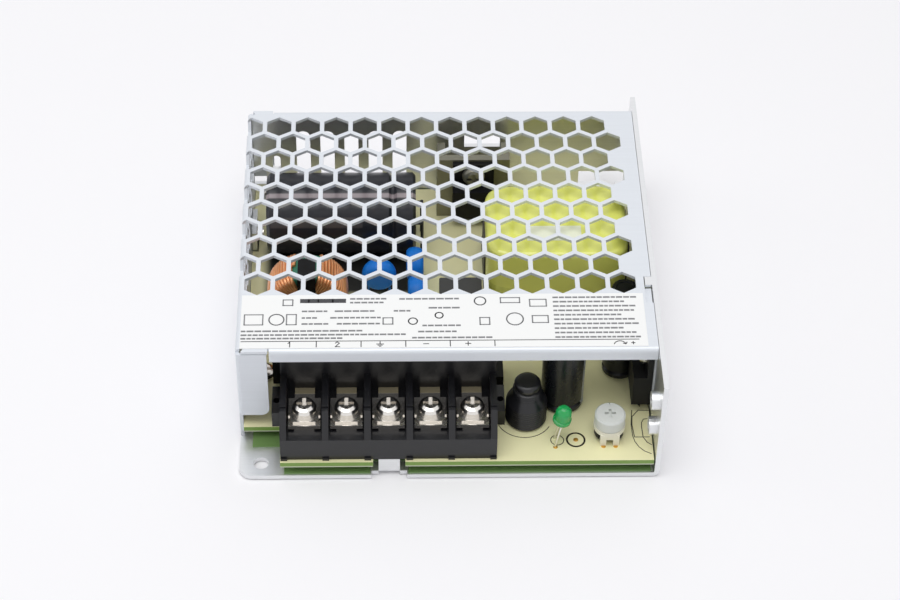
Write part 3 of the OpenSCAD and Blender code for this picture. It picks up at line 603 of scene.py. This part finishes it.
@dataclass(frozen=True)
class Lens(Finish):
    """Tinted clear resin.

    Attributes:
        clear: share of the light that passes.
        milky: share of the light scattered inside.
        reach: depth of the scattering, in metres.
    """

    clear: float = 0.35
    index: float = 1.5
    milky: float = 0.25
    reach: Triple = (0.0005, 0.002, 0.0006)

    def extra(self, bench: Bench) -> None:
        """Let some light through."""
        bench.surface({"Transmission Weight": self.clear, "IOR": self.index,
                       "Subsurface Weight": self.milky, "Subsurface Radius": self.reach})


# -------- palette

# Each finish gives the attributes of Finish, in their order there.

STEEL = Finish("case_metal_plain", (0.8, 0.81, 0.82), 0.33, 0.93, 0.05, 60.0, 0.003, Weave.ROLLED)
COVER = Finish("cover_steel_satin", (0.74, 0.77, 0.815), 0.45, 0.3, 0.03, 40.0, 0.003, Weave.ROLLED)
FILM = Finish("label_film", (0.8, 0.805, 0.81), 0.42, 0.0, 0.012, 30.0, 0.002, Weave.SMOOTH)
INK = Finish("printing_ink", (0.05, 0.05, 0.055), 0.6, 0.0, 0.1, 900.0, 0.0)
PALE_INK = Finish("small_print_ink", (0.22, 0.22, 0.23), 0.6, 0.0, 0.15, 900.0, 0.0)
SHEET = Finish("insulating_sheet_green", (0.15, 0.26, 0.085), 0.35, 0.0, 0.1, 60.0, 0.002,
               Weave.SMOOTH)
BOARD = BoardFace("board_cream", (0.92, 0.88, 0.53), 0.45, 0.0, 0.04, 90.0, 0.004)
SILK = Finish("board_marking", (0.05, 0.045, 0.03), 0.55, 0.0, 0.1, 500.0, 0.0)
PLATE = TabbedPlate("terminal_nickel", (0.8, 0.765, 0.71), 0.2, 1.0, 0.05, 400.0, 0.005)
DULL = Finish("dull_screw_plate", (0.3, 0.29, 0.24), 0.45, 0.8, 0.04, 500.0, 0.004)
NICKEL = Finish("nickel_plate", (0.79, 0.765, 0.725), 0.2, 1.0, 0.04, 500.0, 0.004)
TIN = Finish("tinned_wire", (0.74, 0.72, 0.66), 0.3, 1.0, 0.06, 900.0, 0.003)
COPPER_PAD = Finish("bare_copper_pad", (0.75, 0.42, 0.08), 0.35, 0.8, 0.1, 900.0, 0.004)
BLOCK = Finish("block_moulding", (0.009, 0.009, 0.011), 0.3, 0.0, 0.12, 300.0, 0.006)
BLACK = Finish("black_moulding_dull", (0.009, 0.009, 0.01), 0.5, 0.0, 0.15, 400.0, 0.008,
               Weave.MOULDED, 0.0, 0.2)
SINK = Finish("sink_plate_plain", (0.3, 0.29, 0.23), 0.45, 0.8, 0.05, 60.0, 0.003, Weave.ROLLED)
COPPER = Finish("enamelled_copper", (0.86, 0.38, 0.15), 0.32, 0.5, 0.12, 260.0, 0.003,
                Weave.SMOOTH, 0.6)
RING = Finish("ring_coating", (0.05, 0.27, 0.17), 0.35, 0.0, 0.1, 500.0, 0.006)
FERRITE = Finish("grey_ferrite", (0.07, 0.065, 0.06), 0.6, 0.1, 0.15, 900.0, 0.01)
RESIN = Finish("dipped_blue_resin", (0.012, 0.22, 0.8), 0.3, 0.0, 0.08, 300.0, 0.02, Weave.SMOOTH,
               0.0, 0.3)
GREY_BOX = Finish("grey_case_moulding", (0.05, 0.05, 0.05), 0.45, 0.0, 0.08, 500.0, 0.006)
TAPE = TapeWrap("yellow_film_tape", (0.97, 1.0, 0.22), 0.2, 0.0, 0.04, 120.0, 0.012, Weave.SMOOTH,
                0.5)
PLAIN_TAPE = Finish("white_film_strip", (0.86, 0.88, 0.74), 0.35, 0.0, 0.02, 120.0, 0.004,
                    Weave.SMOOTH)
LAMP = Lens("tinted_green_resin", (0.02, 0.55, 0.14), 0.14, 0.0, 0.04, 300.0, 0.002, Weave.SMOOTH,
            0.2)
CREAM = Finish("cream_moulding", (0.82, 0.79, 0.66), 0.5, 0.0, 0.04, 500.0, 0.005)
KNOB = Finish("pale_knob_moulding", (0.68, 0.7, 0.67), 0.5, 0.0, 0.04, 500.0, 0.006)
PAD = Finish("heat_pad_grey", (0.42, 0.44, 0.46), 0.7, 0.0, 0.06, 500.0, 0.006)
FUSE = Finish("fuse_moulding", (0.03, 0.025, 0.022), 0.4, 0.0, 0.1, 300.0, 0.005)
VARISTOR = Finish("thermistor_coating", (0.04, 0.07, 0.05), 0.4, 0.0, 0.12, 500.0, 0.01)


NODES: dict[str, bpy.types.Object] = {}


def made(finish: Finish) -> bpy.types.Material:
    """Return the finish's material, built on its first use."""
    return bpy.data.materials.get(finish.name) or finish.make()


def dress(node: str, finish: Finish) -> None:
    """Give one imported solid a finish.

    Args:
        node: name of the solid.
        finish: its finish.
    """
    solid = NODES[node]
    material = made(finish)
    if solid.data.materials:
        for slot in solid.material_slots:
            slot.material = material
    else:
        solid.data.materials.append(material)
    LOG.info("dressed %s with %s", node, finish.name)


def fit(name: str, shape: Shape, finish: Finish, body: str,
        nodes: Sequence[str] = (), smooth: float = SHARP_ANGLE) -> None:
    """Make a piece, dress it, and let it ride on a body.

    Args:
        name: name of the piece.
        shape: points in metres and faces.
        finish: its finish.
        body: body that it moves with.
        nodes: solids that it stands for.
        smooth: edges flatter than this many degrees are shaded smooth.
    """
    piece = weld(name, *shape, smooth=smooth)
    piece.data.materials.append(made(finish))
    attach(piece, body)
    if nodes:
        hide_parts(*nodes)
    LOG.info("%s: %d faces", name, len(piece.data.polygons))


def corners(node: str) -> tuple[np.ndarray, np.ndarray]:
    """Lowest and highest corner of a solid, in millimetres."""
    low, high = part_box(node)
    return np.asarray(low, dtype=float) / MM, np.asarray(high, dtype=float) / MM


def middle_of(node: str) -> np.ndarray:
    """Middle of a solid's box, in millimetres."""
    low, high = corners(node)
    return (low + high) / 2


def power_wave(angle: np.ndarray, power: float) -> tuple[np.ndarray, np.ndarray]:
    """Cosine and sine of an angle, each raised to a power with its sign kept."""
    c, s = np.cos(angle), np.sin(angle)
    return np.sign(c) * np.abs(c) ** power, np.sign(s) * np.abs(s) ** power


# -------- sub-assemblies


# Strokes of the label's marks, in millimetres from each mark's middle: a plain one, a plain two,
# earth, minus and plus; then the turn arrow with its plus.
MARKS: tuple[tuple[Line, ...], ...] = (
    (((-0.4, 0.35), (0.0, 0.75), (0.0, -0.75)),),
    (((-0.5, 0.35), (-0.1, 0.75), (0.4, 0.35), (-0.5, -0.75), (0.5, -0.75)),),
    (((0.0, 0.75), (0.0, 0.0)), ((-0.8, 0.0), (0.8, 0.0)), ((-0.5, -0.35), (0.5, -0.35)),
     ((-0.2, -0.7), (0.2, -0.7))),
    (((-0.6, 0.0), (0.6, 0.0)),),
    (((-0.6, 0.0), (0.6, 0.0)), ((0.0, -0.6), (0.0, 0.6))))
ARROW: tuple[Line, ...] = (
    arc(0.0, -1.2, 1.4, 20.0, 160.0, 16), ((1.6, -0.2), (1.3, -0.75), (0.7, -0.5)),
    ((2.6, -0.4), (3.4, -0.4)), ((3.0, 0.0), (3.0, -0.8)))


@dataclass
class SheetMetalCase:
    """Chassis, mesh cover, its screws and the printed label film.

    Attributes:
        margin: space between print and the film's edge, in millimetres.
        rule_end: space right of the ruled line.
        rule_y: Y of the ruled line.
        tick_x: X of the short lines under it.
        mark_x: X of each terminal mark.
        mark_y: Y of the marks.
        arrow_at: arrow's X from the film's right edge, and Y from the marks.
        headline: from X, to X, Y and longest dash of the thick row.
        small_print: the same for each thin row.
        rings: X, Y and radius of each ring.
        boxes: X, Y, half width and half height of each box.
        seeds: of the random numbers of the small print and the headline.
        inks: stroke widths of the rules, small print, headline and signs.
    """

    margin: float = 0.3
    rule_end: float = 2.0
    rule_y: float = -34.3
    tick_x: tuple[float, ...] = (-30.2, -20.1, -10.0, 0.05, 10.15)
    mark_x: tuple[float, ...] = (-36.2, -25.4, -15.8, -5.4, 4.1)
    mark_y: float = -35.3
    arrow_at: Pair = (-6.4, 0.3)
    headline: Row = (-33.7, -23.6, -21.6, 3.2)
    small_print: tuple[Row, ...] = (
        (-22.5, -14.5, -21.0, 1.2), (-22.5, -14.5, -22.2, 1.2), (-33.5, -28.0, -24.9, 1.8),
        (-26.0, -16.5, -24.9, 1.6), (-12.5, -8.8, -24.9, 1.5), (-33.5, -29.5, -27.0, 1.2),
        (-27.0, -15.8, -27.0, 1.2), (-33.5, -27.5, -28.9, 1.8), (-25.5, -16.0, -28.9, 1.6),
        (-47.2, -20.0, -31.1, 1.8), (-47.2, -10.0, -32.3, 1.3), (-47.2, -24.5, -33.4, 1.3),
        (-11.2, 2.6, -21.1, 1.7), (-4.5, 2.5, -24.0, 1.7), (-6.0, 2.4, -29.6, 1.6),
        (-7.0, 1.5, -31.5, 1.6), (-8.4, 9.8, -33.4, 1.3), *(
            (24.1, 43.2 - 3.0 * (k % 3 == 1), -20.9 - 1.4 * k, 1.3) for k in range(10)))
    rings: tuple[Triple, ...] = (
        (-39.4, -27.5, 1.7), (-8.3, -28.2, 1.0), (15.0, -27.7, 1.9), (7.2, -21.9, 1.3),
        (-2.3, -26.4, 0.9))
    boxes: tuple[Row, ...] = (
        (-44.6, -27.5, 2.1, 1.6), (-36.0, -27.5, 1.1, 1.6), (-36.9, -22.1, 1.1, 0.9),
        (-14.0, -28.1, 1.1, 1.0), (8.1, -28.3, 1.1, 1.1), (20.8, -27.8, 1.8, 1.1),
        (14.1, -21.7, 2.2, 0.8), (20.5, -22.6, 1.9, 1.1))
    seeds: tuple[int, int] = (7, 3)
    inks: Row = (0.22, 0.5, 1.3, 0.3)

    def build(self) -> None:
        """Dress the sheet metal and print the label."""
        dress("chassis", STEEL)
        dress("cover", COVER)
        dress("label", FILM)
        dress("cover_screws", NICKEL)
        self.print_label()

    def print_label(self) -> None:
        """Lay the rules and marks, rows of dashes, the headline and the signs on the film."""
        prints = (("label_rules", self.rules(), INK),
                  ("label_small_print", dashes(self.small_print, self.seeds[0]), PALE_INK),
                  ("label_headline", dashes([self.headline], self.seeds[1]), INK),
                  ("label_signs", self.signs(), PALE_INK))
        for (name, lines, ink), width in zip(prints, self.inks):
            fit(name, strokes(lines, width, corners("label")[1][2]), ink, "case")

    def rules(self) -> list[Line]:
        """The ruled line, the ticks under it, the terminal marks and the turn arrow."""
        low, high = corners("label")
        lines = [((low[0] + self.margin, self.rule_y), (high[0] - self.rule_end, self.rule_y))]
        lines += [((x, self.rule_y), (x, low[1] + self.margin)) for x in self.tick_x]
        for x, mark in zip(self.mark_x, MARKS):
            lines += placed(mark, x, self.mark_y)
        return lines + placed(ARROW, high[0] + self.arrow_at[0], self.mark_y + self.arrow_at[1])

    def signs(self) -> list[Line]:
        """Plain rings and boxes where the real label has its printed signs."""
        lines = [arc(x, y, r, 0.0, 360.0, 28) for x, y, r in self.rings]
        for x, y, w, h in self.boxes:
            lines += placed([((-w, -h), (w, -h), (w, h), (-w, h), (-w, -h))], x, y)
        return lines


@dataclass
class BoardAssembly:
    """Circuit board with its markings, supports, sheet and the low parts.

    Attributes:
        top: height of the board's upper face, in millimetres.
        finish_of: finish of each solid.
        ink: width and height of the outlines.
        outlines: outlines with fixed places.
        lamp_ring: shift from the lamp's leads in X and Y, and radius.
        rod_arc: shift from the rod inductor, radius and two angles.
        test_ring: radius and ink width of the bold ring.
        test_pad: place of the pad in it.
        lamp_pad: shift of the lamp's pad from the leads.
        trimmer_pads: places of the pads at the trimmer's feet.
        pad_radii: radius of the test pad and of the others.
        pad_bevel: bevel of a pad's rim.
        pad_height: height of a pad.
    """

    top: float = 5.2
    finish_of: dict[str, Finish] = field(default_factory=lambda: {
        "circuit_board": BOARD, "insulating_sheet": SHEET, "board_standoffs": NICKEL,
        "board_screws": NICKEL, "fuse": FUSE, "thermistor": VARISTOR, "bridge_rectifier": BLACK,
        "optocoupler": BLACK, "heat_sink": SINK, "transistor_screw": DULL,
        "power_transistor": BLACK, "output_rectifier": BLACK, "rectifier_pad": PAD,
        "rectifier_screw": NICKEL, "box_capacitor": GREY_BOX, "lamp_leads": TIN})
    ink: Pair = (0.2, 0.015)
    outlines: tuple[Line, ...] = (
        ((47.0, -33.9), (44.5, -33.8), (42.9, -35.8), (42.7, -38.2), (43.0, -42.1), (46.5, -42.1)),
        ((43.0, -33.8), (42.5, -38.2), (42.6, -41.7), (43.0, -43.5), (43.8, -45.1), (45.0, -46.4),
         (46.5, -47.2)),
        ((46.8, -36.4), (45.5, -36.6), (45.0, -37.6), (44.9, -39.0), (45.0, -42.1), (45.8, -43.7),
         (46.8, -44.5)),
        ((45.2, -23.3), (45.0, -29.4), (44.9, -32.6)))
    lamp_ring: Triple = (-0.1, 0.2, 1.5)
    rod_arc: tuple[float, float, float, float, float] = (-0.4, 0.4, 6.6, 205.0, 330.0)
    test_ring: Pair = (2.05, 0.42)
    test_pad: Pair = (29.3, -42.8)
    lamp_pad: Pair = (-0.6, -1.9)
    trimmer_pads: tuple[Pair, ...] = ((35.6, -44.9), (38.4, -44.9))
    pad_radii: Pair = (0.6, 0.55)
    pad_bevel: float = 0.05
    pad_height: float = 0.02

    def build(self) -> None:
        """Dress the solids, then mark the board."""
        for node, finish in self.finish_of.items():
            dress(node, finish)
        self.mark()

    def mark(self) -> None:
        """Print outlines round the parts, with no letters, and lay the bare pads."""
        lamp, rod = middle_of("lamp_leads"), middle_of("rod_inductor")
        x, y, radius = self.lamp_ring
        lines = [arc(lamp[0] + x, lamp[1] + y, radius, 0.0, 360.0)]
        x, y, radius, start, end = self.rod_arc
        lines += [arc(rod[0] + x, rod[1] + y, radius, start, end), *self.outlines]
        width, depth = self.ink
        radius, bold = self.test_ring
        ring = strokes([arc(*self.test_pad, radius, 0.0, 360.0, 48)], bold, self.top, depth)
        fit("board_outlines", joined([strokes(lines, width, self.top, depth), ring]), SILK,
            "case")
        large, small = self.pad_radii
        places = ((lamp[0] + self.lamp_pad[0], lamp[1] + self.lamp_pad[1]), *self.trimmer_pads)
        pads = [self.pad(self.test_pad, large, 24)] + [self.pad(spot, small, 20) for spot in places]
        fit("board_pads", joined(pads), COPPER_PAD, "case")

    def pad(self, spot: Pair, radius: float, segments: int) -> Shape:
        """Turn one bare pad of this radius at a spot on the board."""
        profile = [(0.0, self.pad_height), (radius - self.pad_bevel, self.pad_height),
                   (radius, 0.0), (0.0, 0.0)]
        return turned(profile, (*spot, self.top), Axis.Z, segments)


@dataclass
class TerminalRow:
    """Moulded block with its plates, clamp washers and screws."""

    cells: int = 5

    def build(self) -> None:
        """Dress every terminal."""
        dress("terminal_block", BLOCK)
        for k in range(1, self.cells + 1):
            dress(f"terminal_plate_{k}", PLATE)
            dress(f"clamp_washer_{k}", PLATE)
            dress(f"terminal_screw_{k}", NICKEL)


@dataclass
class MainsSide:
    """Bulk capacitor, common-mode choke and the blue disc capacitors.

    Attributes:
        wire: diameter of the choke's wire, in millimetres.
        turns: turns of each winding.
        half_arc: reach of a winding each way round the ring, in degrees.
        ring_depth: the ring's outer radius less its inner.
        clearance: gap between wire and ring.
        power: power of a turn's superellipse.
        steps: points along a turn.
        sides: points round the wire.
    """

    wire: float = 0.85
    turns: int = 27
    half_arc: float = 71.0
    ring_depth: float = 4.5
    clearance: float = 0.03
    power: float = 0.45
    steps: int = 40
    sides: int = 8

    def build(self) -> None:
        """Build the wound pieces and dress the rest."""
        self.bulk_sleeve()
        dress("choke_core", RING)
        dress("choke_divider", BLACK)
        for node, turn in (("choke_winding_right", 0.0), ("choke_winding_left", 180.0)):
            self.winding(node, turn)
        for k in (1, 2, 3):
            dress(f"disc_capacitor_{k}", RESIN)

    def bulk_sleeve(self) -> None:
        """Dress the capacitor in its sleeve, with a faint stripe and a painted highlight, a pale
        line along it in place of a reflection.
        """
        low, high = corners("bulk_capacitor")
        centre = (low[0], (low[1] + high[1]) / 2, high[2] - (high[1] - low[1]) / 2)
        dress("bulk_capacitor", Sleeve(
            "capacitor_sleeve", (0.02, 0.021, 0.028), 0.3, 0.0, 0.1, 200.0, 0.004, Weave.SMOOTH,
            centre=centre, axis=Axis.X, stripe=(143.0, 158.0), stripe_colour=(0.075, 0.068, 0.07),
            # The line from 108 to 115 degrees is a painted highlight in place of a reflection.
            span_mm=(1.0, 23.5), line=(108.0, 115.0), painted_highlight_colour=(0.42, 0.35, 0.37)))

    def winding(self, node: str, turn: float) -> None:
        """Wind wire round the ring.

        Turn k of the wire goes once round the ring's section while its place on the ring moves on
        by one wire. The section is a rectangle with round corners, written as a superellipse
        of the angle: each of its two coordinates is the cosine or sine to a power.

        Args:
            node: winding that the wire stands for.
            turn: middle of the winding on the ring, in degrees.
        """
        low, high = corners("choke_core")
        centre, ring = (low + high) / 2, (high[0] - low[0]) / 2
        gap = self.wire / 2 + self.clearance
        t = np.linspace(0.0, 2.0 * np.pi * self.turns, self.turns * self.steps)
        place = np.radians(turn) + np.radians(self.half_arc) * (t / t[-1] * 2.0 - 1.0)
        across, depth = power_wave(t, self.power)
        across = ring - self.ring_depth / 2 + (self.ring_depth / 2 + gap) * across
        depth = ((high[1] - low[1]) / 2 + gap) * depth
        path = np.stack([centre[0] + across * np.cos(place), centre[1] + depth,
                         centre[2] + across * np.sin(place)], axis=1)
        lean = np.stack([-np.sin(place), np.zeros_like(t), np.cos(place)], axis=1)
        fit(node + "_wire", tube(path, lean, self.wire / 2, self.sides), COPPER, "case",
            (node,))


@dataclass
class TransformerAssembly:
    """Bobbin, core and the taped winding with its blank strip.

    Attributes:
        power: power of the coil's superellipse.
        edge: radius of its upper edge, in millimetres.
        foot: bevel of its lower edge.
        points: points round it.
        strip_y: strip's Y from the coil's middle.
        strip_ends: space left and right of the strip.
        strip_size: its width and thickness.
    """

    power: float = 0.36
    edge: float = 1.4
    foot: float = 0.4
    points: int = 160
    strip_y: float = -5.0
    strip_ends: Pair = (11.5, 13.0)
    strip_size: Pair = (5.0, 0.06)

    def build(self) -> None:
        """Dress the transformer."""
        dress("transformer_core", FERRITE)
        dress("transformer_bobbin", BLACK)
        self.taped_coil()
        self.strip()

    def taped_coil(self) -> None:
        """Build the taped coil as a loaf: upright sides, round corners and a round upper edge.

        Each level is a superellipse: its two coordinates are the half sizes, less an inset, times
        the cosine and sine to a power. The inset grows along a quarter circle at the upper edge.
        """
        low, high = corners("transformer_winding")
        middle, half = (low + high) / 2, (high - low) / 2
        turn = np.linspace(0.0, np.pi / 2, 9)
        inset = np.concatenate([[half.min(), self.foot, 0.0], self.edge * (1.0 - np.cos(turn)),
                                [half[:2].min()]])
        level = np.concatenate([[low[2], low[2], low[2] + self.foot],
                                high[2] - self.edge * (1.0 - np.sin(turn)), [high[2]]])
        t = np.linspace(0.0, 2.0 * np.pi, self.points, endpoint=False)
        across, along = power_wave(t, self.power)
        points = np.stack([middle[0] + (half[0] - inset[:, None]) * across,
                           middle[1] + (half[1] - inset[:, None]) * along,
                           np.repeat(level[:, None], len(t), axis=1)], axis=-1)
        shape = (points.reshape(-1, 3) * MM, grid_faces(len(inset), len(t)))
        fit("transformer_taped_coil", shape, TAPE, "case", ("transformer_winding",))

    def strip(self) -> None:
        """Lay a bare paper strip across the top of the winding."""
        low, high = corners("transformer_winding")
        y = (low[1] + high[1]) / 2 + self.strip_y
        left, right = self.strip_ends
        width, thick = self.strip_size
        fit("transformer_strip",
            strokes([[(low[0] + left, y), (high[0] - right, y)]], width, high[2], thick),
            PLAIN_TAPE, "case")


@dataclass
class OutputSide:
    """Rod inductor, output capacitors, lamp and trimmer.

    Attributes:
        stripes: angles of the stripe on each output capacitor, in degrees.
        stripe_end: space between a stripe and the can's ends, in millimetres.
        foot: height of the rod's foot, and its inset from the full radius.
        wound: heights between which the sleeve ripples over the wire.
        rib: height of a ripple.
        ribs: number of ripples.
        shoulder: insets and heights over the wire.
        neck: heights between which the sleeve grips the core.
        grip: the neck's inset, wave height and number of waves.
        core: insets and heights where the core leaves the sleeve.
        cap: insets and depths under the core's top.
        leads: X of the leads from the rod's middle.
        lead: radius of a lead, and heights of its ends.
    """

    stripes: tuple[Pair, ...] = ((-30.0, 10.0), (150.0, 175.0), (10.0, 40.0))
    stripe_end: float = 1.0
    foot: Pair = (5.4, 0.8)
    wound: Pair = (5.6, 11.8)
    rib: float = 0.22
    ribs: int = 9
    shoulder: tuple[Pair, ...] = ((0.5, 12.6), (1.2, 13.3))
    neck: Pair = (13.7, 15.6)
    grip: tuple[float, float, int] = (1.55, 0.09, 4)
    core: tuple[Pair, ...] = ((2.0, 15.8), (1.8, 16.2))
    cap: tuple[Pair, ...] = ((1.75, 0.6), (2.1, 0.1), (2.8, 0.0))
    leads: Pair = (-2.4, 2.4)
    lead: Triple = (0.5, 5.2, 5.5)

    def build(self) -> None:
        """Build the ribbed inductor and dress the rest."""
        self.inductor()
        for k, stripe in enumerate(self.stripes, 1):
            low, high = corners(f"output_capacitor_{k}")
            x, y, _ = (low + high) / 2
            dress(f"output_capacitor_{k}", Sleeve(
                f"can_sleeve_{k}", (0.009, 0.01, 0.012), 0.28, 0.0, 0.1, 300.0, 0.003,
                Weave.SMOOTH, 0.0, 0.35, centre=(x, y, low[2]), stripe=stripe,
                stripe_colour=(0.33, 0.35, 0.38),
                span_mm=(self.stripe_end, high[2] - low[2] - self.stripe_end)))
        dress("indicator_lamp", LAMP)
        dress("trimmer_base", BLACK)
        dress("trimmer_frame", CREAM)
        dress("trimmer_knob", KNOB)

    def inductor(self) -> None:
        """Turn the wound rod: its sleeve ripples over the wire and grips the core's neck.

        Over the wire the radius is the full one less a rib, plus the size of a sine times a rib.
        At the neck it is a smaller one plus a cosine times the wave height.
        """
        low, high = corners("rod_inductor")
        x, y, _ = (low + high) / 2
        r = (high[0] - low[0]) / 2
        share = np.linspace(0.0, 1.0, self.ribs * 8 + 1)
        body = r - self.rib + self.rib * np.abs(np.sin(np.pi * self.ribs * share))
        height = self.wound[0] + share * (self.wound[1] - self.wound[0])
        inset, wave, waves = self.grip
        part = np.linspace(0.0, 1.0, 25)
        collar = r - inset + wave * np.cos(2.0 * np.pi * waves * part)
        neck = self.neck[0] + part * (self.neck[1] - self.neck[0])
        profile = [(0.0, self.foot[0]), (r - self.foot[1], self.foot[0]), *zip(body, height)]
        profile += [(r - d, z) for d, z in self.shoulder]
        profile += [*zip(collar, neck), *((r - d, z) for d, z in self.core)]
        profile += [*((r - d, high[2] - z) for d, z in self.cap), (0.0, high[2])]
        size, bottom, top = self.lead
        pin = [(0.0, bottom), (size, bottom), (size, top), (0.0, top)]
        pins = [turned(pin, (x + d, y, 0.0), Axis.Z, 16) for d in self.leads]
        rod = turned(profile, (x, y, 0.0), Axis.Z, 72)
        fit("rod_inductor_sleeve", joined([rod, *pins]), BLOCK, "case",
            ("rod_inductor",), 50.0)


# -------- stage


@dataclass
class Studio:
    """Camera, pale floor, soft lamps and the room's even light.

    Angles are in radians. The camera's lengths are in millimetres, the floor's and the lamps' in
    metres. Each lamp has a name, a place, a size and a power. The sky's strength goes from the
    horizon to overhead, and the wall is what the camera and the reflections see instead of it.
    """

    focal: float = 94.04
    sensor: float = 36.0
    azimuth: float = -0.0383
    elevation: float = 0.7964
    roll: float = 0.0212
    distance: float = 561.814
    target: Triple = (0.8628, -6.8728, 15.0)
    floor_half: float = 3.0
    floor_z: float = -0.0003
    paper: Colour = (0.96, 0.95, 0.968)
    lamp_data: tuple[tuple[str, Triple, float, float], ...] = (
        ("lamp_over", (-0.08, -0.12, 1.0), 0.8, 4.6), ("lamp_left", (-0.9, 0.1, 0.5), 0.5, 0.45))
    sky: Colour = (0.98, 0.99, 1.0)
    sky_span: Pair = (0.22, 0.8)
    wall: Colour = (0.955, 0.952, 0.965)

    def build(self) -> None:
        """Set up everything that isn't the object."""
        self.camera()
        self.floor()
        self.lamps()
        self.room()
        bpy.context.scene.view_settings.view_transform = "Standard"

    def camera(self) -> None:
        """Place the camera from its angles: back along its axis from the target, then rolled."""
        level = math.cos(self.elevation)
        back = Vector((math.sin(self.azimuth) * level, -math.cos(self.azimuth) * level,
                       math.sin(self.elevation)))
        flat = (-back).cross(Vector((0.0, 0.0, 1.0))).normalized()
        up = flat.cross(-back)
        right = math.cos(self.roll) * flat + math.sin(self.roll) * up
        upward = -math.sin(self.roll) * flat + math.cos(self.roll) * up
        data = bpy.data.cameras.new("camera")
        data.lens = self.focal
        data.sensor_width = self.sensor
        data.clip_start = 0.01
        camera = bpy.data.objects.new("camera", data)
        bpy.context.scene.collection.objects.link(camera)
        spot = (Vector(self.target) + back * self.distance) * MM
        camera.matrix_world = Matrix((
            (right.x, upward.x, back.x, spot.x), (right.y, upward.y, back.y, spot.y),
            (right.z, upward.z, back.z, spot.z), (0.0, 0.0, 0.0, 1.0)))
        bpy.context.scene.camera = camera

    def floor(self) -> None:
        """Lay a pale floor just under the case; to the camera it is nearly white."""
        half, z = self.floor_half, self.floor_z
        points = np.array([[-half, -half, z], [half, -half, z], [half, half, z], [-half, half, z]])
        floor = weld("floor", points, np.array([[0, 1, 2, 3]]))
        bench = Bench("floor_paper")
        bench.surface({"Base Color": (*self.paper, 1.0), "Roughness": 0.9,
                       "Specular IOR Level": 0.0})
        floor.data.materials.append(bench.material)

    def lamps(self) -> None:
        """Hang a large soft lamp over the front, and a weaker one at the left."""
        for name, spot, size, power in self.lamp_data:
            data = bpy.data.lights.new(name, "AREA")
            data.shape = "SQUARE"
            data.size = size
            data.energy = power
            lamp = bpy.data.objects.new(name, data)
            lamp.location = spot
            lamp.rotation_euler = (-Vector(spot)).to_track_quat("-Z", "Y").to_euler()
            bpy.context.scene.collection.objects.link(lamp)

    def room(self) -> None:
        """White room: plain to the camera and in reflections, and as a lamp brighter overhead."""
        world = bpy.data.worlds.new("room")
        wiring = Wiring(world)
        path = wiring.node("LightPath").outputs
        both = wiring.node("Math", {0: path["Is Camera Ray"], 1: path["Is Transmission Ray"]},
                           operation="MAXIMUM")
        seen = wiring.node("Math", {0: both.outputs[0], 1: path["Is Glossy Ray"]},
                           operation="MAXIMUM", use_clamp=True)
        place = wiring.node("TexCoord").outputs["Generated"]
        height = wiring.node("SeparateXYZ", {0: place}).outputs[2]
        low, high = self.sky_span
        rise = wiring.node("MapRange", {"Value": height, "To Min": low, "To Max": high})
        soft = wiring.node("Background", {"Color": (*self.sky, 1.0),
                                          "Strength": rise.outputs["Result"]})
        plain = wiring.node("Background", {"Color": (*self.wall, 1.0)})
        mix = wiring.node("MixShader", {0: seen.outputs[0], 1: soft.outputs[0],
                                        2: plain.outputs[0]})
        wiring.node("OutputWorld", {0: mix.outputs[0]})
        bpy.context.scene.world = world


def main() -> None:
    """Build the stage, then dress and build each sub-assembly."""
    NODES.update(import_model()["nodes"])
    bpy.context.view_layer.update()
    Studio().build()
    for part in (SheetMetalCase(), BoardAssembly(), TerminalRow(), MainsSide(),
                 TransformerAssembly(), OutputSide()):
        part.build()
        LOG.info("%s done", type(part).__name__)


if __name__ == "__main__":
    logging.basicConfig(level=logging.INFO, format="%(message)s")
    main()
